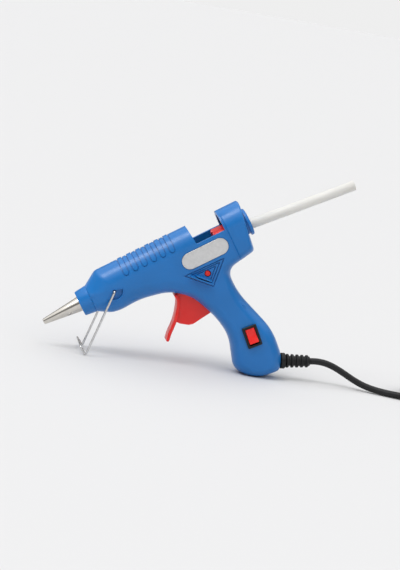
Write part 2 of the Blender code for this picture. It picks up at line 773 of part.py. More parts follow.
def clamp_post(offset):
    """x, z of a clamp post beside the cord."""
    x, _, z = on_relief(CLAMP_AT)
    return (x + offset * sin(RELIEF_SLOPE), z + offset * cos(RELIEF_SLOPE))


CLAMP_POSTS = [clamp_post(-4.4), clamp_post(4.4)]


def cord_clamp():
    x, _, z = on_relief(CLAMP_AT)
    bar = bevelled(block(x - 2.4, x + 2.4, 2.7, 4.5, z - 6.0, z + 6.0), 0.4, 1)
    bar = rotated(bar, (x, z), -RELIEF_SLOPE)
    return cut(bar, *[rod(1.3, (px, 0, pz), (px, 8, pz), 12) for px, pz in CLAMP_POSTS])


def screw(x, z, head_y, length, shank, head):
    """A pan-head screw along y with its head towards +y; head_y is the underside of the head."""
    profile = [(0, head_y + 1.2), (head - 0.5, head_y + 1.2), (head, head_y + 0.5), (head, head_y),
               (shank, head_y), (shank, head_y - length), (0, head_y - length)]
    return turned(profile, (x, 0, z), (0, 1, 0), 16)


def leads():
    sx, sz = SWITCH_CENTRE
    lean = Vector((sin(SWITCH_LEAN), 0, cos(SWITCH_LEAN)))
    low = Vector((sx, 4.9, sz)) - lean * 4.0
    high = Vector((sx, 4.9, sz)) + lean * 4.0
    cord_end = Vector(on_relief(-15.4))
    live = [cord_end + Vector((0, 1.1, 0.6)), cord_end + Vector((-3.4, 2.6, 4.0)), low + Vector((-2.0, 2.6, -4.5)),
            low + Vector((0, 2.6, -0.8)), low]
    lead("lead_live", live)
    switched = [high, high + Vector((0, 2.4, 1.2)), (127.0, 8.3, -60.0), (122.3, 8.6, -50.0), (121.5, 8.9, -36.0),
                (122.2, 9.0, -25.0), (120.0, 9.2, -15.0), (112.0, 9.2, -11.8), (100.0, 9.0, -10.0),
                (88.0, 8.8, -8.0), (83.0, 8.9, 0.0), (80.0, 6.8, 7.2), (76.0, 3.6, 10.6), (72.0, 2.0, 10.2),
                (69.2, 1.5, 8.6), (68.5, 1.4, 8.15)]
    lead("lead_switched", switched)
    neutral = [cord_end + Vector((0, -1.1, 0.6)), cord_end + Vector((-4.0, 0.5, 5.0)), (115.5, 6.4, -78.0),
               (117.0, 7.6, -66.0), (119.6, 7.4, -54.0), (123.4, 7.2, -40.0), (124.4, 7.2, -26.0),
               (121.8, 7.4, -13.6), (112.0, 7.4, -9.8), (100.0, 7.2, -8.6), (88.0, 7.2, -6.2), (80.5, 7.9, -2.0),
               (77.5, 8.4, 1.4), (75.0, 6.6, 5.8), (73.0, 3.0, 8.3), (71.0, 0.2, 7.9), (68.5, -1.4, 6.65)]
    lead("lead_neutral", neutral)


def lead(name, route):
    part(name, tube(smooth_path(route, 3.6), 0.7, 1), "lead_white")


# ---------------------------------------------------------------- the cord on the ground

def on_ground(name, mesh, material):
    """A piece outside the gun: its coordinates are the world's."""
    obj = place(name, mesh, PARTS)
    mesh.materials.clear()
    mesh.materials.append(MATERIALS[material])
    return obj


def cord_on_ground():
    """The cord from the strain relief to its hank, the hank with its tie, and on to the plug."""
    on_ground("cord_lead", tube(smooth_path(LEAD_ROUTE, 3 * CORD_RADIUS), CORD_RADIUS, 3), "cord_black")
    on_ground("cord_hank", hank(), "cord_black")
    on_ground("cord_tie", cord_tie(), "tie_black")
    on_ground("cord_end", tube(smooth_path(END_ROUTE, 3 * CORD_RADIUS), CORD_RADIUS, 3), "cord_black")
    on_ground("plug_body", plug_body(), "black_plastic")
    for number, side in ((1, -1), (2, 1)):
        y = PLUG_SIDE + side * PLUG_BLADE_SPACING / 2
        blade = block(PLUG_FACE + GAP, PLUG_FACE + PLUG_BLADE_LENGTH, y - 0.75, y + 0.75,
                      PLUG_HEIGHT - 3.15, PLUG_HEIGHT + 3.15)
        on_ground(f"plug_blade_{number}", bevelled(blade, 0.4), "brass")


def stadium(x0, x1, radius, steps=10):
    """Outline in x, y of a flat ring with round ends, centred on y = 0."""
    return arc(x0, 0.0, radius, 90, 270, steps) + arc(x1, 0.0, radius, -90, 90, steps)


def flat_prism(outline, z0, z1):
    """Rows of (x, y) made solid from z0 to z1."""
    mesh = prism(outline, -z1, -z0)
    mesh.transform(Matrix.Rotation(-pi / 2, 4, "X"))
    return mesh


def hank():
    low = TIE_THICKNESS + GAP
    mesh = flat_prism(stadium(HANK_START, HANK_END, HANK_OUTSIDE), low, low + 3 * 2 * CORD_RADIUS)
    return bevelled(mesh, 1.6)


def cord_tie():
    """A flat band round the middle of the hank."""
    middle = (HANK_START + HANK_END) / 2
    inner = HANK_OUTSIDE + GAP
    top = TIE_THICKNESS + GAP + 6 * CORD_RADIUS + GAP
    band = block(middle - 4, middle + 4, -inner - TIE_THICKNESS, inner + TIE_THICKNESS, 0, top + TIE_THICKNESS)
    return cut(band, block(middle - 9, middle + 9, -inner, inner, TIE_THICKNESS, top))


def plug_body():
    """A flat two-blade plug: a waisted body with a short neck for the cord."""
    outline = [(PLUG_NECK, -3.6), (PLUG_NECK + 6, -4.6), (PLUG_NECK + 11, -10.6), (PLUG_FACE - 7, -11.6),
               (PLUG_FACE, -12.0)]
    outline += [(x, -y) for x, y in reversed(outline)]
    outline = [(x, y + PLUG_SIDE) for x, y in outline]
    return bevelled(flat_prism(outline, 0.0, 2 * PLUG_HEIGHT), 2.0, 2)


HANK_START = 182.0             # where its straight runs start
HANK_END = 221.4
HANK_OUTSIDE = 20.7            # radius of its round ends
TIE_THICKNESS = 0.6
PLUG_NECK = 260.5
PLUG_FACE = 284.5
PLUG_SIDE = -8.0               # y of its middle
PLUG_HEIGHT = 6.85             # half its thickness
PLUG_BLADE_SPACING = 12.7
PLUG_BLADE_LENGTH = 16.0
LEAD_ROUTE = [(91.2, 0.0, 15.0), (96.5, 0.0, 15.4), (103.0, -0.2, 14.9), (110.0, -0.8, 12.9), (117.0, -1.9, 9.9),
              (124.0, -3.4, 6.7), (131.0, -5.4, 4.2), (138.5, -8.0, 2.8), (146.0, -11.0, 2.35),
              (154.0, -14.0, 2.35), (161.0, -16.4, 2.6), (167.0, -17.7, 3.0)]
END_ROUTE = [(240.2, -13.3, 15.1), (243.0, -12.6, 13.3), (247.0, -11.2, 10.9), (251.0, -9.7, 8.8),
             (254.8, -8.4, 7.3), (257.8, -8.0, 6.86), (PLUG_NECK - 0.6, PLUG_SIDE, PLUG_HEIGHT)]


# ---------------------------------------------------------------- assembly

def build_gun():
    part("housing_left", housing(-1), "blue_plastic")
    part("housing_right", housing(1), "blue_plastic")
    part("nose_ring", nose_ring(), "blue_plastic")
    part("nozzle", nozzle(), "polished_steel")
    part("melt_chamber", melt_chamber(), "cast_aluminium")
    heater_stack()
    part("inlet_sleeve", inlet_sleeve(), "silicone")
    part("sleeve_clamp", sleeve_clamp(), "zinc_steel")
    part("stick_guide", stick_guide(), "blue_plastic")
    part("label_plate", label_plate(), "label_silver")

    part("glue_stick", glue_stick(), "glue", empty_at("stick_slide", *STICK_FRONT, GUN))
    part("feed_carriage", feed_carriage(), "red_plastic", empty_at("carriage_slide", *CARRIAGE_PIN, GUN))
    part("trigger", trigger(), "red_plastic", empty_at("trigger_hinge", *TRIGGER_PIVOT, GUN))
    part("feed_link", feed_link(), "black_plastic", empty_at("link_hinge", *CRANK_PIN, GUN))
    part("return_spring", return_spring(), "zinc_steel")
    part("stand", stand(), "chromed_wire", empty_at("stand_hinge", *STAND_PIVOT, GUN))

    part("switch_bezel", switch_bezel(), "black_plastic")
    part("switch_rocker", switch_rocker(), "red_plastic", empty_at("rocker_hinge", *SWITCH_CENTRE, GUN))
    part("switch_terminal_1", switch_terminal(-4.0), "brass")
    part("switch_terminal_2", switch_terminal(4.0), "brass")

    part("strain_relief", strain_relief(), "black_plastic")
    part("cord_inner", cord_inner(), "cord_black")
    part("cord_clamp", cord_clamp(), "black_plastic")
    for number, (x, z) in enumerate(CLAMP_POSTS, 1):
        part(f"clamp_screw_{number}", screw(x, z, 4.8, 8.0, 0.7, 1.9), "zinc_steel")
    for number, (x, z, surface) in enumerate(HOUSING_SCREWS, 1):
        part(f"housing_screw_{number}", screw(x, z, surface - 1.3, surface + 4.0, 1.0, 2.5), "zinc_steel")
    leads()


def settle(gun):
    """Puts the gun's own box on the ground, its middle over the world's origin."""
    gun.rotation_euler = (0.0, -TILT, 0.0)
    bpy.context.view_layer.update()
    graph = bpy.context.evaluated_depsgraph_get()
    corners = []
    for obj in PARTS.objects:
        if obj.type == "MESH":
            mesh = obj.evaluated_get(graph).to_mesh()
            corners += [obj.matrix_world @ v.co for v in mesh.vertices]
    low_x = min(c.x for c in corners)
    high_x = max(c.x for c in corners)
    gun.location = (-(low_x + high_x) / 2, 0.0, -min(c.z for c in corners))
    bpy.context.view_layer.update()


clear_scene()
PARTS = new_collection("glue_gun")
CUTTERS = new_collection("cutters")
MATERIALS = {name: make_material(name) for name in COLOURS}
GUN = bpy.data.objects.new("gun_frame", None)
PARTS.objects.link(GUN)
build_gun()
settle(GUN)
cord_on_ground()
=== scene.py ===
"""The look of the glue gun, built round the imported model.

Shapes are made in the gun frame, in millimetres: x runs from the nozzle's tip to the rear along
the feed axis, z is square to it, y = 0 is the joint between the two housing halves and -y is the
side with the label and the switch. Every finished mesh is then moved into the row frame.
"""

import json
from math import cos, pi, radians, sin

import bmesh
import bpy
from mathutils import Matrix, Vector


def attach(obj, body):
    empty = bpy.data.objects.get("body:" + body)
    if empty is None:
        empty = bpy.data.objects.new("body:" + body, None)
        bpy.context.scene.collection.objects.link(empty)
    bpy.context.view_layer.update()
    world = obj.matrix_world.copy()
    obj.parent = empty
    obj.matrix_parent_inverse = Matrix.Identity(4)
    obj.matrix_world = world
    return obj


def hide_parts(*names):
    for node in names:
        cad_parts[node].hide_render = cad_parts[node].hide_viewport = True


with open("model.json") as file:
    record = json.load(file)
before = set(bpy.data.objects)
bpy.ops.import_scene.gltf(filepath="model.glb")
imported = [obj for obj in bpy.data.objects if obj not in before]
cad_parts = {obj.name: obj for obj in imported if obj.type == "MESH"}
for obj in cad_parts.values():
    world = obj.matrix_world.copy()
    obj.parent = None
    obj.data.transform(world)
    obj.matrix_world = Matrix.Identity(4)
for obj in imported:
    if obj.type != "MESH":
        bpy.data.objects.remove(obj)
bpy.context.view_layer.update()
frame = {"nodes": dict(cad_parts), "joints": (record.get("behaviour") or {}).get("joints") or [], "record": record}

MM = 0.001
GAP = 0.3
TILT = radians(35.2)
WALL = 2.5
HALF_WIDTH = 13.3
RING_HALF_WIDTH = 14.3
GRIP_HALF_WIDTH = 12.0

STICK_RADIUS = 3.6
STICK_LENGTH = 101.6
STICK_FRONT = (134.5, -0.1)
STICK_SLOPE = radians(5.8)

TRIGGER_PIVOT = (115.8, -17.6)
CRANK_PIN = (119.29, -3.6)
CARRIAGE_PIN = (134.29, -3.6)

STAND_PIVOT = (53.0, 0.0)
STAND_ELBOW = (15.9, -30.6)
STAND_CORNER = (15.6, -23.6)
STAND_HALF_WIDTH = 14.8
STAND_WIRE = 0.8

LABEL_ENDS = ((108.7, -4.3), (131.5, -4.3))
SWITCH_CENTRE = (124.9, -71.9)
SWITCH_LEAN = radians(6.0)
ROCKER_PIN_Y = -10.5
ROCKER_TIP = radians(9.0)

RELIEF_ROOT = (135.6, -100.1)
RELIEF_SLOPE = radians(28.6)
RELIEF_OUTSIDE = 22.0
RELIEF_INSIDE = 6.0
CORD_RADIUS = 2.3

RIB_CENTRES = [65.8 + 7.0 * i for i in range(6)]
RIB_HALF_WIDTH = 1.75
RIB_LOWER_END = 8.2
RIB_RELIEF = 0.35
RIB_GROOVE_DEPTH = 0.5
RIB_GROOVE_OUTSIDE = 0.5
RIB_GROOVE_INSIDE = 0.2

# Screw x, z and the y of the surface its head sits in.
HOUSING_SCREWS = [(62.0, -9.4, 11.6), (104.5, 8.9, 12.0), (146.5, -13.8, 14.2),
                  (127.5, -51.0, 12.3), (113.0, -89.5, 12.0)]

# Corners of the body's side view. Each row gives the corner on the parting plane and how far its
# round stretch cuts back, then the same for the matching corner of the flat side face.
BODY_CORNERS = [
    (30.5, 6.0, 2.5, 50.5, 2.0, 0.5),
    (46.6, 16.5, 2.0, 53.5, 3.2, 0.8),
    (156.7, 16.8, 2.0, 153.2, 3.4, 0.6),
    (152.6, -19.9, 2.5, 149.8, -12.5, 2.0),
    (129.9, -23.6, 8.0, 124.5, -18.5, 5.0),
    (129.9, -42.0, 9.0, 122.3, -42.0, 7.0),
    (140.6, -77.0, 9.0, 131.8, -77.0, 7.0),
    (138.9, -96.0, 4.0, 131.0, -92.5, 3.0),
    (133.4, -105.9, 3.0, 127.5, -98.3, 3.0),
    (119.5, -104.3, 5.0, 119.3, -97.2, 3.0),
    (110.0, -98.5, 4.0, 114.3, -93.0, 3.0),
    (104.4, -89.5, 4.5, 112.0, -86.0, 3.0),
    (111.6, -66.0, 9.0, 118.4, -66.0, 7.0),
    (107.4, -48.0, 8.0, 114.4, -46.0, 6.0),
    (99.5, -29.7, 7.0, 107.0, -23.5, 6.0),
    (86.5, -19.4, 7.0, 92.0, -9.5, 6.0),
    (66.0, -15.2, 8.0, 68.0, -3.0, 4.0),
    (52.0, -16.3, 3.5, 56.5, -2.9, 1.0),
    (44.9, -15.0, 2.0, 53.0, -2.7, 0.6),
    (30.5, -6.2, 2.5, 50.5, -1.6, 0.5),
]

# Cuts in the housing seen from the side, as rows (x, z): the open slot on top, the slit that the
# trigger swings in and the fan-shaped pocket behind the stand's leg.
TOP_SLOT = [(117.6, 4.2), (139.3, 4.2), (139.3, 22.0), (115.6, 22.0), (116.6, 15.0)]
TRIGGER_SLIT = [(88.5, -10.0), (84.5, -26.0), (98.0, -60.0), (116.5, -56.0), (116.5, -10.0)]
FAN_TIP = (STAND_PIVOT[0] - 1.0, STAND_PIVOT[1] + 1.2)
FAN_RADIUS = 5.8
FAN_SWEEP = (-143, -8)
FAN_MIDDLE = (54.5, -2.0)
FAN_RIM = 1.22
TRIANGLE = ((100.9, -12.1), (130.3, -12.9), (115.6, -27.4))
# Each nested groove: its share of the triangle's size and half its width.
TRIANGLE_GROOVES = ((1.0, 0.42), (0.74, 0.38), (0.5, 0.38))

# The trigger's flat plate and the front of its finger pad, as rows (x, z).
TRIGGER_PLATE = [
    (92.2, -19.2), (101.0, -16.4), (TRIGGER_PIVOT[0] - 2.0, TRIGGER_PIVOT[1] + 3.7),
    (TRIGGER_PIVOT[0] + 2.6, TRIGGER_PIVOT[1] + 3.1), (TRIGGER_PIVOT[0] + 4.1, TRIGGER_PIVOT[1]),
    (118.0, -29.0), (112.5, -39.0), (106.4, -46.2), (100.0, -47.0), (92.2, -48.0), (89.2, -47.3),
    (84.0, -43.6), (81.4, -40.4), (84.6, -36.5), (87.3, -32.6), (89.4, -28.6), (90.4, -24.2)]
PAD_FRONT = [(88.4, -23.4), (89.0, -25.2), (88.4, -28.3), (86.2, -32.0), (83.6, -35.7),
             (80.6, -39.2), (77.0, -42.5), (73.6, -45.5), (70.4, -48.9)]
PAD_THICKNESS = 2.3

# The cord's route on the ground, in the row frame, in millimetres, as the CAD lays it.
LEAD_ROUTE = [(91.2, 0.0, 14.9), (96.5, 0.0, 15.4), (103.0, -0.2, 14.9), (110.0, -0.8, 12.9),
              (117.0, -1.9, 9.9), (124.0, -3.4, 6.7), (131.0, -5.4, 4.2), (138.5, -8.0, 2.8),
              (146.0, -11.0, 2.35), (154.0, -14.0, 2.35), (161.0, -16.4, 2.6), (167.0, -17.7, 3.0),
              (174.0, -18.3, 3.2)]
HUMP_ROUTE = [(210.0, -13.8, 12.5), (216.0, -13.8, 13.2), (222.0, -13.8, 14.8),
              (228.0, -13.8, 16.6), (233.5, -13.8, 17.2), (238.0, -13.6, 16.1)]
END_ROUTE = [(243.0, -12.6, 13.3), (247.0, -11.2, 10.9), (251.0, -9.7, 8.8), (254.8, -8.4, 7.3),
             (257.8, -8.0, 6.86), (260.0, -8.0, 6.85)]
HANK_START = 182.0
HANK_END = 221.4
HANK_LEAVES = 208.0
HANK_TURN = 15.0
HANK_MOVE_SHARE = 0.19
# Each pass of the hank lies in one column, half its width from the middle, and one layer.
COLUMNS = (18.4, 13.8)
LAYERS = (3.2, 7.8, 12.4)
PLACES = [(COLUMNS[column], LAYERS[layer])
          for column, layer in ((0, 0), (1, 0), (1, 1), (0, 1), (0, 2), (1, 2))]
CORD_SPACING = 1.6
TIE_INSIDE = 21.0
TIE_THICKNESS = 0.6
TIE_TOP = 15.0
PLUG_NECK = 260.5
PLUG_FACE = 284.5
PLUG_SIDE = -8.0
PLUG_HEIGHT = 6.85
PLUG_BLADE_SPACING = 12.7
PLUG_BLADE_LENGTH = 16.0

FLOOR_HALF_SIZE = 90.0
FLOOR_COLOUR = (0.66, 0.66, 0.665, 1.0)
# The sky's brightness by height, from 0 at the horizon to 1 overhead.
SKY = ((0.10, 0.43), (0.17, 0.10), (0.42, 0.10), (0.55, 0.55), (0.95, 0.72))
SKY_STRENGTH = 2.0

PIVOT = next(j["pos_m"] for j in frame["joints"] if j["name"] == "trigger_pull")
LEAN = Matrix.Rotation(-TILT, 4, "Y")
GUN = Matrix.Translation(
    Vector(PIVOT) - LEAN @ (Vector((TRIGGER_PIVOT[0], 0.0, TRIGGER_PIVOT[1])) * MM)) @ LEAN


# ---------------------------------------------------------------- camera

def make_camera(aim, distance, lens, right, up):
    """A camera looking at aim, its picture plane close to the given right and up."""
    right = Vector(right).normalized()
    back = right.cross(Vector(up)).normalized()
    up = back.cross(right)
    data = bpy.data.cameras.new("camera")
    data.lens = lens
    data.sensor_width = 36.0
    data.clip_end = 200.0
    camera = bpy.data.objects.new("camera", data)
    camera.matrix_world = Matrix.Translation(Vector(aim) + back * distance) @ Matrix(
        (right, up, back)).transposed().to_4x4()
    bpy.context.scene.collection.objects.link(camera)
    bpy.context.scene.camera = camera


make_camera(aim=(0.0037, 0.0, 0.0574), distance=1.2, lens=109.0,
            right=(0.9734, -0.1476, 0.1744), up=(-0.1456, 0.1879, 0.9713))


# ---------------------------------------------------------------- mesh helpers

SCRATCH = bpy.data.collections.new("scratch")
bpy.context.scene.collection.children.link(SCRATCH)


def finished(bm):
    mesh = bpy.data.meshes.new("shape")
    bmesh.ops.recalc_face_normals(bm, faces=bm.faces)
    bm.to_mesh(mesh)
    bm.free()
    return mesh


def in_scratch(name, data):
    obj = bpy.data.objects.new(name, data)
    SCRATCH.objects.link(obj)
    return obj


def evaluated_mesh(obj):
    """The object's mesh with its modifiers or its curve worked out and welded; obj is removed."""
    bpy.context.view_layer.update()
    graph = bpy.context.evaluated_depsgraph_get()
    mesh = bpy.data.meshes.new_from_object(obj.evaluated_get(graph))
    bpy.data.objects.remove(obj, do_unlink=True)
    bm = bmesh.new()
    bm.from_mesh(mesh)
    bmesh.ops.remove_doubles(bm, verts=bm.verts, dist=1e-6)
    bm.to_mesh(mesh)
    bm.free()
    return mesh


def merge_flat_faces(mesh):
    bm = bmesh.new()
    bm.from_mesh(mesh)
    bmesh.ops.dissolve_limit(bm, angle_limit=radians(0.05), verts=bm.verts, edges=bm.edges)
    bm.to_mesh(mesh)
    bm.free()
    return mesh


def boolean(mesh, operation, tools):
    for tool in tools:
        cutter = in_scratch("cutter", tool)
        body = in_scratch("body", mesh)
        modifier = body.modifiers.new("boolean", "BOOLEAN")
        modifier.operation = operation
        modifier.object = cutter
        mesh = evaluated_mesh(body)
        bpy.data.objects.remove(cutter, do_unlink=True)
    return mesh


def cut(mesh, *tools):
    return boolean(mesh, "DIFFERENCE", tools)


def fuse(mesh, *tools):
    return boolean(mesh, "UNION", tools)


def common(mesh, *tools):
    return boolean(mesh, "INTERSECT", tools)


def joined(*meshes):
    """Separate meshes as one; they must not touch each other if the result is used in a Boolean."""
    bm = bmesh.new()
    for mesh in meshes:
        bm.from_mesh(mesh)
    return finished(bm)


def bevelled(mesh, width, segments=3, angle=30.0):
    obj = in_scratch("bevel", mesh)
    modifier = obj.modifiers.new("bevel", "BEVEL")
    modifier.width = width * MM
    modifier.segments = segments
    modifier.limit_method = "ANGLE"
    modifier.angle_limit = radians(angle)
    modifier.harden_normals = False
    return evaluated_mesh(obj)


def block(x0, x1, y0, y1, z0, z1):
    bm = bmesh.new()
    bmesh.ops.create_cube(bm, size=1.0)
    size = Vector((x1 - x0, y1 - y0, z1 - z0)) * MM
    centre = Vector((x0 + x1, y0 + y1, z0 + z1)) * (MM / 2)
    bmesh.ops.transform(bm, matrix=Matrix.Translation(centre) @ Matrix.Diagonal((*size, 1.0)),
                        verts=bm.verts)
    return finished(bm)


def rotated(mesh, centre, angle):
    """Turns the mesh about the line y through centre (x, z); positive is from +x towards +z."""
    pivot = Vector((centre[0] * MM, 0.0, centre[1] * MM))
    turn = Matrix.Rotation(-angle, 4, "Y")
    mesh.transform(Matrix.Translation(pivot) @ turn @ Matrix.Translation(-pivot))
    return mesh


def turned(profile, start, direction, steps=64, closed=False):
    """A solid of revolution. Profile rows are (radius, distance along direction from start)."""
    axis = Vector(direction).normalized()
    turn = axis.to_track_quat("Z", "Y").to_matrix().to_4x4()
    matrix = Matrix.Translation(Vector(start) * MM) @ turn
    bm = bmesh.new()
    rows = []
    for radius, along in profile:
        if radius == 0:
            rows.append([bm.verts.new(matrix @ Vector((0, 0, along * MM)))])
            continue
        ring = []
        for i in range(steps):
            angle = 2 * pi * i / steps
            spoke = Vector((radius * cos(angle), radius * sin(angle), along)) * MM
            ring.append(bm.verts.new(matrix @ spoke))
        rows.append(ring)
    pairs = list(zip(rows, rows[1:]))
    if closed:
        pairs.append((rows[-1], rows[0]))
    for low, high in pairs:
        for i in range(steps):
            j = (i + 1) % steps
            corners = []
            for ring, k in ((low, i), (low, j), (high, j), (high, i)):
                vert = ring[k % len(ring)]
                if vert not in corners:
                    corners.append(vert)
            if len(corners) > 2:
                bm.faces.new(corners)
    return finished(bm)


def rod(radius, start, end, steps=40):
    length = (Vector(end) - Vector(start)).length
    return turned([(0, length), (radius, length), (radius, 0), (0, 0)],
                  start, Vector(end) - Vector(start), steps)


def prism(outline, low, high, axis="y"):
    """A flat outline made solid from low to high: rows (x, z) along y, or rows (y, z) along x."""
    curve = bpy.data.curves.new("outline", "CURVE")
    curve.dimensions = "2D"
    curve.fill_mode = "BOTH"
    curve.extrude = abs(high - low) / 2 * MM
    spline = curve.splines.new("POLY")
    spline.points.add(len(outline) - 1)
    spline.use_cyclic_u = True
    for point, (u, v) in zip(spline.points, outline):
        point.co = (u * MM, v * MM, 0.0, 1.0)
    mesh = merge_flat_faces(evaluated_mesh(in_scratch("outline", curve)))
    middle = (low + high) / 2 * MM
    if axis == "y":
        upright = Matrix(((1, 0, 0, 0), (0, 0, -1, middle), (0, 1, 0, 0), (0, 0, 0, 1)))
    else:
        upright = Matrix(((0, 0, 1, middle), (1, 0, 0, 0), (0, 1, 0, 0), (0, 0, 0, 1)))
    mesh.transform(upright)
    return mesh


def arc(cx, cz, radius, start, end, steps):
    angles = [radians(start + (end - start) * i / steps) for i in range(steps + 1)]
    return [(cx + radius * cos(a), cz + radius * sin(a)) for a in angles]


def capsule(a, b, radius, steps=16):
    """Outline of a bar with round ends from a to b."""
    heading = Vector((b[0] - a[0], b[1] - a[1])).angle_signed(Vector((1.0, 0.0))) * 180 / pi
    return (arc(*a, radius, heading + 90, heading + 270, steps)
            + arc(*b, radius, heading - 90, heading + 90, steps))


def smooth_path(points, spacing):
    """Evenly spaced points on a Catmull-Rom curve through the given points."""
    knots = [Vector(p) for p in points]
    ends = [knots[0] * 2 - knots[1]] + knots + [knots[-1] * 2 - knots[-2]]
    fine = []
    for p0, p1, p2, p3 in zip(ends, ends[1:], ends[2:], ends[3:]):
        for i in range(24):
            t = i / 24
            fine.append(0.5 * (2 * p1 + (p2 - p0) * t + (2 * p0 - 5 * p1 + 4 * p2 - p3) * t * t
                               + (3 * p1 - p0 - 3 * p2 + p3) * t ** 3))
    fine.append(knots[-1])
    total = sum((b - a).length for a, b in zip(fine, fine[1:]))
    count = max(2, round(total / spacing))
    step = total / count
    path = [fine[0]]
    travelled = 0.0
    for a, b in zip(fine, fine[1:]):
        length = (b - a).length
        while len(path) < count and travelled + length >= step * len(path):
            path.append(a.lerp(b, (step * len(path) - travelled) / length))
        travelled += length
    path.append(fine[-1])
    return path


def wire_curve(points, radius, resolution):
    curve = bpy.data.curves.new("wire", "CURVE")
    curve.dimensions = "3D"
    curve.bevel_depth = radius * MM
    curve.bevel_resolution = resolution
    curve.use_fill_caps = True
    spline = curve.splines.new("POLY")
    spline.points.add(len(points) - 1)
    for point, co in zip(spline.points, points):
        point.co = (*(Vector(co) * MM), 1.0)
    return curve


def tube(points, radius, resolution=5):
    """A round wire through points, with filled ends, as a mesh."""
    return evaluated_mesh(in_scratch("wire", wire_curve(points, radius, resolution)))


def across(side, near, far):
    """The y range from near to far on one side of the parting plane."""
    return (near, far) if side > 0 else (-far, -near)


def on_stick(distance):
    return (STICK_FRONT[0] + distance * cos(STICK_SLOPE), 0.0,
            STICK_FRONT[1] - distance * sin(STICK_SLOPE))


def on_relief(distance):
    return (RELIEF_ROOT[0] + distance * cos(RELIEF_SLOPE), 0.0,
            RELIEF_ROOT[1] - distance * sin(RELIEF_SLOPE))


# ---------------------------------------------------------------- materials

MATERIALS = {}


class Surface:
    """One procedural material: a Principled shader and the nodes that vary it over the piece."""

    def __init__(self, name, colour, roughness, metallic=0.0):
        self.material = bpy.data.materials.new(name)
        self.material.use_nodes = True
        self.nodes = self.material.node_tree.nodes
        self.links = self.material.node_tree.links
        self.shader = self.nodes["Principled BSDF"]
        self.colour = colour
        self.set("Base Color", (*colour, 1.0))
        self.set("Roughness", roughness)
        self.set("Metallic", metallic)
        self.place = self.nodes.new("ShaderNodeTexCoord").outputs["Object"]
        self.bump_end = None
        MATERIALS[name] = self.material

    def set(self, socket, value):
        self.shader.inputs[socket].default_value = value
        return self

    def mapped(self, stretch=(1, 1, 1)):
        """Coordinates along the gun's own axes, scaled by stretch."""
        turn = self.nodes.new("ShaderNodeMapping")
        turn.inputs["Rotation"].default_value = (0.0, TILT, 0.0)
        self.links.new(self.place, turn.inputs["Vector"])
        scale = self.nodes.new("ShaderNodeMapping")
        scale.inputs["Scale"].default_value = stretch
        self.links.new(turn.outputs["Vector"], scale.inputs["Vector"])
        return scale.outputs["Vector"]

    def noise(self, scale, detail=3.0, stretch=(1, 1, 1), rough=0.5):
        node = self.nodes.new("ShaderNodeTexNoise")
        node.inputs["Scale"].default_value = scale
        node.inputs["Detail"].default_value = detail
        node.inputs["Roughness"].default_value = rough
        self.links.new(self.mapped(stretch), node.inputs["Vector"])
        return node.outputs["Fac"]

    def ramp(self, value, low, high, start=0.3, end=0.7):
        node = self.nodes.new("ShaderNodeMapRange")
        node.inputs["From Min"].default_value = start
        node.inputs["From Max"].default_value = end
        node.inputs["To Min"].default_value = low
        node.inputs["To Max"].default_value = high
        self.links.new(value, node.inputs["Value"])
        return node.outputs["Result"]

    def vary_roughness(self, value, low, high, start=0.3, end=0.7):
        self.links.new(self.ramp(value, low, high, start, end), self.shader.inputs["Roughness"])
        return self

    def vary_colour(self, value, dark, light, start=0.3, end=0.7):
        """Base colour between dark and light times the material's colour."""
        node = self.nodes.new("ShaderNodeMix")
        node.data_type = "RGBA"
        node.inputs[6].default_value = (*[c * dark for c in self.colour], 1.0)
        node.inputs[7].default_value = (*[min(1.0, c * light) for c in self.colour], 1.0)
        self.links.new(self.ramp(value, 0.0, 1.0, start, end), node.inputs[0])
        self.links.new(node.outputs[2], self.shader.inputs["Base Color"])
        return self

    def bump(self, value, height):
        """Adds relief, height in metres."""
        node = self.nodes.new("ShaderNodeBump")
        node.inputs["Strength"].default_value = 1.0
        node.inputs["Distance"].default_value = height
        self.links.new(value, node.inputs["Height"])
        if self.bump_end is not None:
            self.links.new(self.bump_end, node.inputs["Normal"])
        self.bump_end = node.outputs["Normal"]
        self.links.new(self.bump_end, self.shader.inputs["Normal"])
        return self


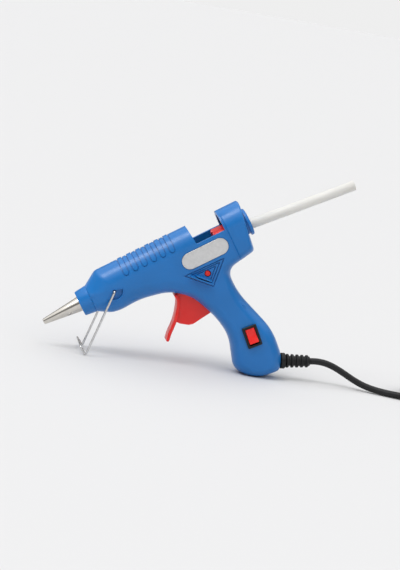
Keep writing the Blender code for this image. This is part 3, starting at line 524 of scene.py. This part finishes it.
def make_materials():
    blue = Surface("blue_plastic", (0.006, 0.160, 0.490), 0.34)
    blue.set("Specular IOR Level", 0.4).set("Coat Weight", 0.12).set("Coat Roughness", 0.18)
    blue.vary_colour(blue.noise(45, 4), 0.93, 1.06)
    blue.vary_roughness(blue.noise(260, 3), 0.30, 0.40)
    blue.bump(blue.noise(2600, 2), 0.000012)

    red = Surface("red_plastic", (0.850, 0.014, 0.010), 0.34)
    red.set("Subsurface Weight", 0.08).set("Subsurface Radius", (0.004, 0.001, 0.001))
    red.vary_colour(red.noise(60, 4), 0.94, 1.05)
    red.vary_roughness(red.noise(300, 3), 0.28, 0.40)
    red.bump(red.noise(2400, 2), 0.000012)

    black = Surface("black_plastic", (0.008, 0.008, 0.009), 0.46)
    black.set("Specular IOR Level", 0.32)
    black.vary_colour(black.noise(80, 4), 0.8, 1.3)
    black.vary_roughness(black.noise(400, 3), 0.38, 0.55)
    black.bump(black.noise(3200, 2), 0.00002)

    cord = Surface("cord_black", (0.007, 0.007, 0.008), 0.44)
    cord.set("Specular IOR Level", 0.34)
    cord.vary_colour(cord.noise(120, 4), 0.8, 1.35)
    cord.vary_roughness(cord.noise(500, 3), 0.36, 0.52)
    cord.bump(cord.noise(1800, 2), 0.00001)

    tie = Surface("tie_black", (0.020, 0.020, 0.022), 0.55)
    tie.vary_roughness(tie.noise(700, 3), 0.48, 0.66)
    tie.bump(tie.noise(2600, 2), 0.00003)

    steel = Surface("polished_steel", (0.66, 0.63, 0.58), 0.2, 1.0)
    steel.vary_colour(steel.noise(900, 5, (0.02, 1, 1), 0.65), 0.82, 1.12)
    steel.vary_roughness(steel.noise(1400, 4, (0.03, 1, 1)), 0.10, 0.20)
    steel.bump(steel.noise(2600, 3, (0.03, 1, 1)), 0.000004)

    chrome = Surface("chromed_wire", (0.62, 0.62, 0.62), 0.16, 1.0)
    chrome.vary_colour(chrome.noise(500, 4), 0.85, 1.12)
    chrome.vary_roughness(chrome.noise(900, 4), 0.10, 0.24)
    chrome.bump(chrome.noise(2500, 3), 0.000006)

    zinc = Surface("zinc_steel", (0.52, 0.53, 0.54), 0.34, 1.0)
    zinc.vary_colour(zinc.noise(700, 4), 0.85, 1.12)
    zinc.vary_roughness(zinc.noise(900, 4), 0.26, 0.44)
    zinc.bump(zinc.noise(2600, 3), 0.00001)

    cast = Surface("cast_aluminium", (0.58, 0.58, 0.59), 0.48, 1.0)
    cast.vary_colour(cast.noise(600, 5), 0.8, 1.12)
    cast.vary_roughness(cast.noise(500, 4), 0.40, 0.60)
    cast.bump(cast.noise(1400, 5, rough=0.7), 0.00008)

    brass = Surface("brass", (0.76, 0.56, 0.24), 0.28, 1.0)
    brass.vary_colour(brass.noise(400, 4), 0.82, 1.1)
    brass.vary_roughness(brass.noise(900, 4), 0.20, 0.38)
    brass.bump(brass.noise(2200, 3), 0.00001)

    ceramic = Surface("ceramic", (0.80, 0.78, 0.73), 0.7)
    ceramic.vary_colour(ceramic.noise(500, 5), 0.88, 1.05)
    ceramic.bump(ceramic.noise(1600, 4), 0.00004)

    silicone = Surface("silicone", (0.60, 0.11, 0.07), 0.6)
    silicone.vary_colour(silicone.noise(300, 4), 0.85, 1.1)
    silicone.bump(silicone.noise(1500, 3), 0.00003)

    glue = Surface("glue", (0.80, 0.79, 0.76), 0.38)
    glue.set("Subsurface Weight", 0.55).set("Subsurface Radius", (0.006, 0.0058, 0.0052))
    glue.set("Transmission Weight", 0.12).set("IOR", 1.48)
    glue.vary_colour(glue.noise(160, 4, (0.15, 1, 1)), 0.90, 1.05)
    glue.vary_roughness(glue.noise(320, 3, (0.3, 1, 1)), 0.30, 0.46)
    glue.bump(glue.noise(700, 3, (0.2, 1, 1)), 0.00004)

    label = Surface("label_silver", (0.66, 0.66, 0.66), 0.36, 0.75)
    label.vary_colour(label.noise(500, 3), 0.94, 1.05)
    label.vary_roughness(label.noise(1800, 3), 0.30, 0.44)
    label.bump(label.noise(3000, 2), 0.000012)

    lead = Surface("lead_white", (0.78, 0.77, 0.74), 0.55)
    lead.vary_colour(lead.noise(300, 4), 0.9, 1.05)
    lead.bump(lead.noise(2200, 2), 0.00003)


make_materials()
for row in frame["record"]["subparts"]:
    slots = frame["nodes"][row["node"]].data.materials
    slots.clear()
    slots.append(MATERIALS[row["material_slot"]])


def show(name, mesh, body, slot, replaced=(), smooth_angle=32.0, local=True):
    """A finished piece: gun-frame coordinates unless local is False, riding on body."""
    if local:
        mesh.transform(GUN)
    mesh.name = name
    mesh.shade_smooth()
    mesh.set_sharp_from_angle(angle=radians(smooth_angle))
    mesh.materials.clear()
    mesh.materials.append(MATERIALS[slot])
    obj = bpy.data.objects.new(name, mesh)
    bpy.context.scene.collection.objects.link(obj)
    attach(obj, body)
    if replaced:
        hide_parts(*replaced)
    return obj


# ---------------------------------------------------------------- cord, hank, tie and plug

def eased(t):
    t = min(1.0, max(0.0, t))
    return t * t * (3 - 2 * t)


def hank_points():
    """Six passes of cord, each end turn a half circle; the strands change places on the left."""
    straight = HANK_END - HANK_START
    points = []

    def run(place, x0, x1, steps):
        for i in range(steps):
            points.append((x0 + (x1 - x0) * i / steps, -place[0], place[1]))

    for turn, (here, there) in enumerate(zip(PLACES, PLACES[1:])):
        run(here, HANK_START, HANK_END, 8)
        for i in range(14):
            angle = -pi / 2 + pi * i / 14
            points.append((HANK_END + here[0] * cos(angle), here[0] * sin(angle), here[1]))
        # The last strand moves first, so that each one finds its new place empty.
        room = straight + pi * HANK_TURN
        window = room * HANK_MOVE_SHARE
        start = (4 - turn) * window
        for i in range(42):
            travelled = room * i / 42
            share = eased((travelled - start) / window)
            radius = here[0] + (there[0] - here[0]) * share
            height = here[1] + (there[1] - here[1]) * share
            if travelled < straight:
                points.append((HANK_END - travelled, radius, height))
            else:
                angle = pi / 2 + (travelled - straight) / HANK_TURN
                points.append((HANK_START + radius * cos(angle), radius * sin(angle), height))
    run(PLACES[-1], HANK_START, HANK_LEAVES, 6)
    return points


def cord_points():
    return smooth_path(LEAD_ROUTE + hank_points() + HUMP_ROUTE + END_ROUTE, CORD_SPACING)


def make_cord():
    points = cord_points()
    curve = wire_curve(points, CORD_RADIUS, 5)
    curve.materials.append(MATERIALS["cord_black"])
    cord = bpy.data.objects.new("cord", curve)
    bpy.context.scene.collection.objects.link(cord)
    curve.splines[0].use_smooth = True
    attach(cord, "gun")
    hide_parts("cord_lead", "cord_hank", "cord_end")
    tie = make_tie()
    make_plug()
    make_blades()


def make_tie():
    """The flat band round the middle of the hank."""
    middle = (HANK_START + HANK_END) / 2
    outer = TIE_INSIDE + TIE_THICKNESS
    band = block(middle - 4, middle + 4, -outer, outer, 0, TIE_TOP + TIE_THICKNESS)
    inner = block(middle - 9, middle + 9, -TIE_INSIDE, TIE_INSIDE, TIE_THICKNESS, TIE_TOP)
    tie = cut(bevelled(band, 1.8, 4), bevelled(inner, 1.4, 4))
    return show("hank_tie", tie, "gun", "tie_black", ["cord_tie"], local=False)


def make_plug():
    """A flat two-blade plug: a waisted body, a ribbed neck and finger grooves on both faces."""
    outline = [(PLUG_NECK + 5, -4.2), (PLUG_NECK + 7.5, -5.4), (PLUG_NECK + 10.5, -9.8),
               (PLUG_NECK + 13, -11.2), (PLUG_FACE - 7, -11.5), (PLUG_FACE, -11.9)]
    outline += [(x, -y) for x, y in reversed(outline)]
    body = prism([(x, y + PLUG_SIDE) for x, y in outline], -2 * PLUG_HEIGHT, 0.0)
    body.transform(Matrix.Rotation(-pi / 2, 4, "X"))
    body = bevelled(body, 2.0, 5, 40.0)
    profile = [(0.0, 0.1), (3.0, 0.1), (3.2, 0.4)]
    for i in range(3):
        at = 0.7 + 1.7 * i
        size = 3.7 + 0.15 * i
        profile += [(size, at), (size, at + 1.0), (size - 0.7, at + 1.2), (size - 0.7, at + 1.6)]
    profile += [(3.8, 7.0), (0.0, 7.0)]
    neck = turned(profile[::-1], (PLUG_NECK, PLUG_SIDE, PLUG_HEIGHT), (1, 0, 0), 40)
    grips = []
    for i in range(4):
        x = PLUG_NECK + 13.5 + 2.2 * i
        for z in (-0.5, 2 * PLUG_HEIGHT + 0.5):
            grips.append(rod(0.9, (x, PLUG_SIDE - 6.5, z), (x, PLUG_SIDE + 6.5, z), 20))
    body = cut(fuse(body, neck), *grips)
    return show("plug", body, "gun", "black_plastic", ["plug_body"], 40.0, local=False)


def make_blades():
    """The plug's two flat blades, each with its small round hole."""
    blades = []
    for number, side in ((1, -1), (2, 1)):
        y = PLUG_SIDE + side * PLUG_BLADE_SPACING / 2
        blade = block(PLUG_FACE + GAP, PLUG_FACE + PLUG_BLADE_LENGTH, y - 0.75, y + 0.75,
                      PLUG_HEIGHT - 3.15, PLUG_HEIGHT + 3.15)
        x = PLUG_FACE + PLUG_BLADE_LENGTH - 4.4
        hole = rod(1.4, (x, y - 2, PLUG_HEIGHT), (x, y + 2, PLUG_HEIGHT), 28)
        blades.append(show(f"blade_{number}", cut(bevelled(blade, 0.35, 3), hole), "gun", "brass",
                           [f"plug_blade_{number}"], local=False))
    return blades


make_cord()


# ---------------------------------------------------------------- housing halves

def rounded_corners(corners, steps=8):
    """Each corner (x, z, cut-back) becomes a short parabola with steps + 1 points."""
    outline = []
    for i, (x, z, back) in enumerate(corners):
        here = Vector((x, z))
        before = Vector(corners[i - 1][:2])
        after = Vector(corners[(i + 1) % len(corners)][:2])
        start = here + (before - here).normalized() * back
        end = here + (after - here).normalized() * back
        for j in range(steps + 1):
            t = j / steps
            outline.append(start * (1 - t) ** 2 + here * (2 * t * (1 - t)) + end * t * t)
    return outline


def half_width(x, z):
    """The body's half width: wider at the rear ring block, narrower in the handle."""
    if z > -24.0:
        ramp = min(1.0, max(0.0, (x - 140.5) / 0.7))
        return HALF_WIDTH + (RING_HALF_WIDTH - HALF_WIDTH) * ramp
    ramp = eased((-24.0 - z) / 38.0)
    return HALF_WIDTH + (GRIP_HALF_WIDTH - HALF_WIDTH) * ramp


def inset_corners(corners, inset):
    """The same corners, (x, z, cut-back) going clockwise, moved inwards by inset."""
    moved = []
    for i, (x, z, back) in enumerate(corners):
        here = Vector((x, z))
        into = (here - Vector(corners[i - 1][:2])).normalized()
        out = (Vector(corners[(i + 1) % len(corners)][:2]) - here).normalized()
        first = Vector((into.y, -into.x))
        second = Vector((out.y, -out.x))
        shift = (first + second) * (inset / (1 + first.dot(second)))
        moved.append((x + shift.x, z + shift.y, back))
    return moved


def body_solid(side, rim, thinner=0.0, rim_inset=0.0, flat_inset=0.0, rings=13):
    """Half of the body as one solid, from y = rim to its flat side, or the hollow inside it."""
    outer = rounded_corners(inset_corners([row[:3] for row in BODY_CORNERS], rim_inset))
    inner = rounded_corners(inset_corners([row[3:] for row in BODY_CORNERS], flat_inset))
    bm = bmesh.new()
    loops = []
    for step in range(rings):
        angle = pi / 2 * step / (rings - 1)
        blend = 1 - cos(angle)
        ring = [a.lerp(b, blend) for a, b in zip(outer, inner)]
        loops.append([bm.verts.new((p.x, sin(angle), p.y)) for p in ring])
    for low, high in zip(loops, loops[1:]):
        for i in range(len(low)):
            j = (i + 1) % len(low)
            bm.faces.new((low[i], low[j], high[j], high[i]))
    bm.faces.new(loops[-1])
    bm.faces.new(loops[0])
    planes = [((140.5, 0, 0), (1, 0, 0)), ((141.2, 0, 0), (1, 0, 0))]
    planes += [((x, 0, 0), (1, 0, 0)) for x in (62, 74, 86, 98, 110, 122, 132)]
    planes += [((0, 0, -24.0 - 5.4 * i), (0, 0, 1)) for i in range(8)]
    for across_at, normal in planes:
        geometry = bm.verts[:] + bm.edges[:] + bm.faces[:]
        bmesh.ops.bisect_plane(bm, geom=geometry, plane_co=across_at, plane_no=normal)
    for vert in bm.verts:
        x, share, z = vert.co
        y = rim + (half_width(x, z) - thinner - rim) * share
        vert.co = Vector((x, side * y, z)) * MM
    bmesh.ops.triangulate(bm, faces=[f for f in bm.faces if len(f.verts) > 4])
    return finished(bm)


def through(centre, radius, steps=36):
    return rod(radius, (centre[0], -20, centre[1]), (centre[0], 20, centre[1]), steps)


def switch_block(length, width, near, far):
    """A block square to the leaning switch, length along it, from y = near to y = far."""
    x, z = SWITCH_CENTRE
    mesh = block(x - width / 2, x + width / 2, near, far, z - length / 2, z + length / 2)
    return rotated(mesh, SWITCH_CENTRE, -SWITCH_LEAN)


def stand_path():
    half = [(STAND_PIVOT, 9.9), (STAND_PIVOT, STAND_HALF_WIDTH), (STAND_ELBOW, STAND_HALF_WIDTH),
            (STAND_CORNER, STAND_HALF_WIDTH)]
    near = [(x, -y, z) for (x, z), y in half]
    far = [(x, y, z) for (x, z), y in half]
    return bent(near + far[::-1], 1.6)


def bent(corners, back, steps=8):
    """A 3-D path whose inner corners are rounded off."""
    path = [Vector(corners[0])]
    for before, here, after in zip(corners, corners[1:], corners[2:]):
        before, here, after = Vector(before), Vector(here), Vector(after)
        start = here + (before - here).normalized() * back
        end = here + (after - here).normalized() * back
        for i in range(steps + 1):
            t = i / steps
            path.append(start * (1 - t) ** 2 + here * (2 * t * (1 - t)) + end * t * t)
    path.append(Vector(corners[-1]))
    return path


def foot_cut():
    """The space under the ground that the gun stands on, in the gun frame."""
    level = min(p.x * sin(TILT) + p.z * cos(TILT) for p in stand_path()) - STAND_WIRE
    slab = block(60, 180, -30, 30, -40, level)
    slab.transform(Matrix.Rotation(TILT, 4, "Y"))
    return slab


def rib_wall(side, x0, x1, floor, hole):
    """A wall across the barrel with a round hole at the axis; its edges are buried in the shell."""
    reach = 12.1
    crown = 3.3
    outline = [(GAP / 2, floor), (reach, floor)] + arc(0.0, crown, reach, 0, 89, 16)
    outline += [(GAP / 2, crown + reach)]
    plate = prism([(y * side, z) for y, z in outline], x0, x1, axis="x")
    return cut(plate, rod(hole, (x0 - 2, 0, 0), (x1 + 2, 0, 0), 48))


def top_ribs(side):
    """Low bands over the top of the barrel, with round lower ends, as one mesh."""
    grown = body_solid(side, GAP / 2, thinner=-RIB_RELIEF, rim_inset=-RIB_RELIEF,
                       flat_inset=-RIB_RELIEF)
    bands = [prism(capsule((x, RIB_LOWER_END), (x, 30.0), RIB_HALF_WIDTH, 14), -20, 20)
             for x in RIB_CENTRES]
    return common(grown, joined(*bands))


def rib_grooves(side):
    """The U-shaped grooves round the ribs, as one cutter that stays near the surface."""
    core = body_solid(side, -1.0, thinner=RIB_GROOVE_DEPTH, rim_inset=RIB_GROOVE_DEPTH,
                      flat_inset=RIB_GROOVE_DEPTH)
    wide_radius = RIB_HALF_WIDTH + RIB_GROOVE_OUTSIDE
    narrow_radius = RIB_HALF_WIDTH - RIB_GROOVE_INSIDE
    rings = []
    for x in RIB_CENTRES:
        wide = prism(capsule((x, RIB_LOWER_END), (x, 30.0), wide_radius, 14), -20, 20)
        narrow = prism(capsule((x, RIB_LOWER_END), (x, 40.0), narrow_radius, 14), -21, 21)
        rings.append(cut(wide, narrow))
    return cut(joined(*rings), core)


def triangle_grooves():
    """Nested triangular grooves under the label, as cutters for the near side."""
    outer = [Vector(corner) for corner in TRIANGLE]
    middle = sum(outer, Vector((0.0, 0.0))) / 3
    tools = []
    for share, width in TRIANGLE_GROOVES:
        corners = [middle + (p - middle) * share for p in outer]
        for i in range(3):
            tools.append(prism(capsule(corners[i], corners[(i + 1) % 3], width, 8), -20, -12.3))
    return tools


def housing(side):
    hollow = body_solid(side, -1.0, thinner=WALL, rim_inset=WALL, flat_inset=0.3, rings=9)
    fan = [FAN_TIP] + arc(*STAND_PIVOT, FAN_RADIUS, *FAN_SWEEP, 32)
    middle = Vector(FAN_MIDDLE)
    rim = [tuple(middle + (Vector(p) - middle) * FAN_RIM) for p in fan]
    mesh = fuse(body_solid(side, GAP / 2), top_ribs(side), prism(rim, *across(side, 12.0, 13.62)))
    mesh = cut(mesh, hollow)
    inside = [rib_wall(side, 114.4, 116.4, 1.6, 4.9), rib_wall(side, 97.2, 99.0, -7.0, 6.95),
              block(117.0, 150.6, *across(side, 8.4, 12.1), -9.9, -8.1)]
    for x, z, surface in HOUSING_SCREWS:
        near, far = across(side, GAP / 2, surface - 1.3)
        inside.append(rod(2.3, (x, near, z), (x, far, z), 24))
    mesh = fuse(mesh, *inside)
    spotface = [(0, 12), (10.2, 12), (10.2, 0), (8.6, 0), (8.6, -9), (0, -9)]
    tools = [
        block(20, 36.36, -20, 20, -20, 20),
        prism(TOP_SLOT, -20, 20),
        prism(TRIGGER_SLIT, -3.1, 3.1),
        turned(spotface, (155.5, 0, 0), (1, 0, 0), 64),
        rod(6.7, (30, 0, 0), (45, 0, 0), 48),
        through(TRIGGER_PIVOT, 2.35),
        through(STAND_PIVOT, 1.15, 24),
        rod(3.9, on_relief(-14), on_relief(14), 40),
        foot_cut(),
        prism(fan, *across(side, 11.5, 20.0)),
        rib_grooves(side),
    ]
    if side > 0:
        for x, z, surface in HOUSING_SCREWS:
            tools.append(rod(1.6, (x, -1, z), (x, surface + 5, z), 24))
            tools.append(rod(2.9, (x, surface - 1.6, z), (x, surface + 8, z), 36))
    else:
        tools += [switch_block(14.3, 9.3, -20, -6),
                  prism(capsule(*LABEL_ENDS, 6.1, 24), -20, -12.6)]
        tools += triangle_grooves()
    return cut(mesh, *tools)


show("shell_near", housing(-1), "gun", "blue_plastic", ["housing_left"], 28.0)
show("shell_far", housing(1), "gun", "blue_plastic", ["housing_right"], 28.0)


# ---------------------------------------------------------------- nose, stick and feed

def nose_collar():
    profile = [(5.6, 27.8), (8.3, 27.8), (8.75, 27.95), (9.0, 28.5), (9.9, 36.0), (9.75, 36.3),
               (7.3, 36.3), (7.3, 30.2), (5.6, 30.2)]
    return turned(profile, (0, 0, 0), (1, 0, 0), 72, closed=True)


def nozzle():
    outside = [(1.7, 0.0), (1.95, 0.25), (2.05, 0.7), (5.2, 27.2), (5.2, 32.6), (3.5, 32.6),
               (3.5, 39.0)]
    bore = [(2.6, 39.0), (2.6, 30.0), (0.9, 6.0), (0.9, 0.0)]
    return turned(outside + bore, (0, 0, 0), (1, 0, 0), 72, closed=True)


def stick_guide():
    profile = [(7.2, 157.6), (7.6, 158.0), (9.0, 158.0), (9.5, 157.7), (9.7, 157.2), (9.7, 155.8),
               (8.3, 155.8), (8.3, 149.6), (7.2, 149.6)]
    return turned(profile, (0, 0, 0), (1, 0, 0), 72, closed=True)


def glue_stick():
    profile = [(0, STICK_LENGTH), (STICK_RADIUS - 0.5, STICK_LENGTH),
               (STICK_RADIUS - 0.15, STICK_LENGTH - 0.15), (STICK_RADIUS, STICK_LENGTH - 0.5),
               (STICK_RADIUS, 0.5), (STICK_RADIUS - 0.15, 0.15), (STICK_RADIUS - 0.5, 0), (0, 0)]
    return turned(profile, on_stick(0), Vector(on_stick(1)) - Vector(on_stick(0)), 48)


def pin(centre, near, far):
    return rod(1.4, (centre[0], near, centre[1]), (centre[0], far, centre[1]), 24)


def feed_carriage():
    body = bevelled(block(131.0, 148.0, -9.75, 9.75, -7.8, 4.5), 1.6, 5)
    tools = [rod(STICK_RADIUS + 0.6, on_stick(-8), on_stick(20), 40)]
    tools += [block(125.0, 140.0, *across(side, 6.2, 12.0), -12.0, 0.1) for side in (-1, 1)]
    body = cut(body, *tools)
    pins = []
    for side in (-1, 1):
        near, far = across(side, 5.6, 8.2)
        pins.append(pin(CARRIAGE_PIN, near, far))
    return fuse(body, *pins)


show("nose_collar", nose_collar(), "gun", "blue_plastic", ["nose_ring"])
show("nozzle_cone", nozzle(), "gun", "polished_steel", ["nozzle"])
show("rear_guide", stick_guide(), "gun", "blue_plastic", ["stick_guide"])
show("stick", glue_stick(), "stick", "glue", ["glue_stick"])
show("carriage_block", feed_carriage(), "carriage", "red_plastic", ["feed_carriage"])


# ---------------------------------------------------------------- trigger

def pad_outline():
    """The finger pad from the side: a curved strip with a rounded lower end."""
    front = [Vector((p.x, p.z)) for p in smooth_path([(x, 0, z) for x, z in PAD_FRONT], 1.3)]
    back = []
    for i, point in enumerate(front):
        along = front[min(i + 1, len(front) - 1)] - front[max(i - 1, 0)]
        normal = Vector((-along.y, along.x)).normalized()
        back.append(point + normal * PAD_THICKNESS)
    heading = (front[-1] - front[-2]).normalized()
    middle = (front[-1] + back[-1]) / 2
    tip = [middle + heading * (1.1 * cos(a)) + (front[-1] - middle) * sin(a)
           for a in (pi / 3, pi / 6, 0, -pi / 6, -pi / 3)]
    return [tuple(p) for p in front + tip + back[::-1]]


def trigger():
    px, pz = TRIGGER_PIVOT
    body = bevelled(prism(TRIGGER_PLATE, -2.5, 2.5), 0.5, 3, 50.0)
    pad = bevelled(prism(pad_outline(), -5.6, 5.6), 0.8, 4, 50.0)
    hub = rod(4.6, (px, -5.8, pz), (px, 5.8, pz), 40)
    boss = [(0, 12.9), (1.7, 12.9), (2.0, 12.6), (2.0, -12.6), (1.7, -12.9), (0, -12.9)]
    bosses = turned(boss, (px, 0, pz), (0, 1, 0), 40)
    arms = [prism(capsule(TRIGGER_PIVOT, CRANK_PIN, 2.5, 12), *across(side, 4.3, 6.1))
            for side in (-1, 1)]
    pins = []
    for side in (-1, 1):
        near, far = across(side, 5.0, 8.2)
        pins.append(pin(CRANK_PIN, near, far))
    return fuse(body, pad, hub, bosses, *arms, *pins)


show("trigger_lever", trigger(), "trigger", "red_plastic", ["trigger"])


# ---------------------------------------------------------------- stand, label, switch and sleeve

def label_plate():
    """A plain plate with a raised rim round a slightly sunk field."""
    plate = bevelled(prism(capsule(*LABEL_ENDS, 5.8, 28), -13.5, -12.9), 0.18, 3)
    field = prism(capsule(*LABEL_ENDS, 5.05, 28), -14.5, -13.36)
    return cut(plate, field)


def switch_bezel():
    flange = bevelled(switch_block(15.5, 10.5, -13.9, -12.5), 0.6, 4)
    body = switch_block(13.7, 8.7, -13.0, -1.0)
    return cut(fuse(flange, body), switch_block(12.3, 7.3, -20, -4.0))


def switch_rocker():
    """A shallow V seen from the side, tipped to its resting side."""
    x, z = SWITCH_CENTRE
    face = [(-5.4 + 10.8 * i / 12, -13.6 - 1.0 * abs(i / 6 - 1) ** 1.4) for i in range(13)]
    outline = face + [(5.0, -9.6), (0.0, -8.0), (-5.0, -9.6)]
    mesh = prism([(y, s) for s, y in outline], -3.3, 3.3, axis="x")
    mesh.transform(Matrix.Translation(Vector((x, 0, z)) * MM))
    mesh = bevelled(mesh, 0.4, 3, 40.0)
    hinge = Vector((0, ROCKER_PIN_Y, z)) * MM
    tip = Matrix.Rotation(-ROCKER_TIP, 4, "X")
    mesh.transform(Matrix.Translation(hinge) @ tip @ Matrix.Translation(-hinge))
    return rotated(mesh, SWITCH_CENTRE, -SWITCH_LEAN)


def strain_relief():
    """A tapered sleeve: a spigot in the wall, a block outside it and ribs that shrink outwards."""
    profile = [(2.6, RELIEF_OUTSIDE), (3.2, RELIEF_OUTSIDE), (3.4, RELIEF_OUTSIDE - 0.2)]
    for i in range(5):
        start = 5.0 + 3.5 * (4 - i)
        rim = 4.9 - 0.12 * (4 - i)
        profile += [(3.5, start + 2.15), (rim - 0.35, start + 1.8), (rim, start + 1.45),
                    (rim, start + 0.3), (rim - 0.35, start), (3.5, start - 0.3)]
    profile += [(3.6, 4.4), (5.2, 4.1), (5.6, 3.7), (5.6, 1.3), (5.2, 0.9), (3.5, 0.9),
                (3.5, -RELIEF_INSIDE), (2.6, -RELIEF_INSIDE)]
    heading = Vector(on_relief(1)) - Vector(on_relief(0))
    return turned(profile, on_relief(0), heading, 48, closed=True)


def screw_head(x, z, surface):
    """A pan-head screw along y with a cross recess, head towards +y."""
    seat = surface - 1.3
    profile = [(0, seat + 1.2), (1.4, seat + 1.12), (2.1, seat + 0.85), (2.5, seat + 0.4),
               (2.5, seat), (1.0, seat), (1.0, -4.0), (0, -4.0)]
    screw = turned(profile, (x, 0, z), (0, 1, 0), 40)
    top = seat + 2.0
    cross = fuse(block(x - 1.3, x + 1.3, seat + 0.5, top, z - 0.25, z + 0.25),
                 block(x - 0.25, x + 0.25, seat + 0.5, top, z - 1.3, z + 1.3))
    return cut(screw, cross)


show("stand_wire", tube(stand_path(), STAND_WIRE), "stand", "chromed_wire", ["stand"], 60.0)
show("label", label_plate(), "gun", "label_silver", ["label_plate"])
show("switch_frame", switch_bezel(), "gun", "black_plastic", ["switch_bezel"])
show("rocker_cap", switch_rocker(), "rocker", "red_plastic", ["switch_rocker"])
show("cord_sleeve", strain_relief(), "gun", "black_plastic", ["strain_relief"])
for number, screw_at in enumerate(HOUSING_SCREWS, 1):
    show(f"screw_{number}", screw_head(*screw_at), "gun", "zinc_steel", [f"housing_screw_{number}"])


# ---------------------------------------------------------------- floor and light

def make_floor():
    bm = bmesh.new()
    bmesh.ops.create_grid(bm, x_segments=1, y_segments=1, size=FLOOR_HALF_SIZE)
    mesh = finished(bm)
    material = bpy.data.materials.new("floor")
    material.use_nodes = True
    shader = material.node_tree.nodes["Principled BSDF"]
    shader.inputs["Base Color"].default_value = FLOOR_COLOUR
    shader.inputs["Roughness"].default_value = 0.7
    mesh.materials.append(material)
    floor = bpy.data.objects.new("floor", mesh)
    floor.location = (0.0, 0.0, -0.0002)
    bpy.context.scene.collection.objects.link(floor)


def make_sun(name, towards, strength, angle):
    """Soft light from far away, so that the floor stays even; towards points at the light."""
    data = bpy.data.lights.new(name, "SUN")
    data.energy = strength
    data.angle = radians(angle)
    lamp = bpy.data.objects.new(name, data)
    lamp.rotation_euler = Vector(towards).to_track_quat("Z", "Y").to_euler()
    bpy.context.scene.collection.objects.link(lamp)


def make_world():
    """Light by height: as bright as the floor at the horizon, dim above it, bright overhead."""
    world = bpy.data.worlds.new("studio")
    world.use_nodes = True
    nodes = world.node_tree.nodes
    links = world.node_tree.links
    place = nodes.new("ShaderNodeTexCoord")
    split = nodes.new("ShaderNodeSeparateXYZ")
    ramp = nodes.new("ShaderNodeValToRGB")
    links.new(place.outputs["Generated"], split.inputs["Vector"])
    links.new(split.outputs["Z"], ramp.inputs["Fac"])
    for at, level in SKY:
        stop = ramp.color_ramp.elements.new(at)
        stop.color = (level, level, level, 1.0)
    ramp.color_ramp.elements.remove(ramp.color_ramp.elements[0])
    ramp.color_ramp.elements.remove(ramp.color_ramp.elements[-1])
    links.new(ramp.outputs["Color"], nodes["Background"].inputs["Color"])
    nodes["Background"].inputs["Strength"].default_value = SKY_STRENGTH
    bpy.context.scene.world = world


make_floor()
make_world()
make_sun("key", (-0.50, -0.23, 0.82), 1.15, 26.0)
bpy.context.scene.view_settings.view_transform = "Standard"
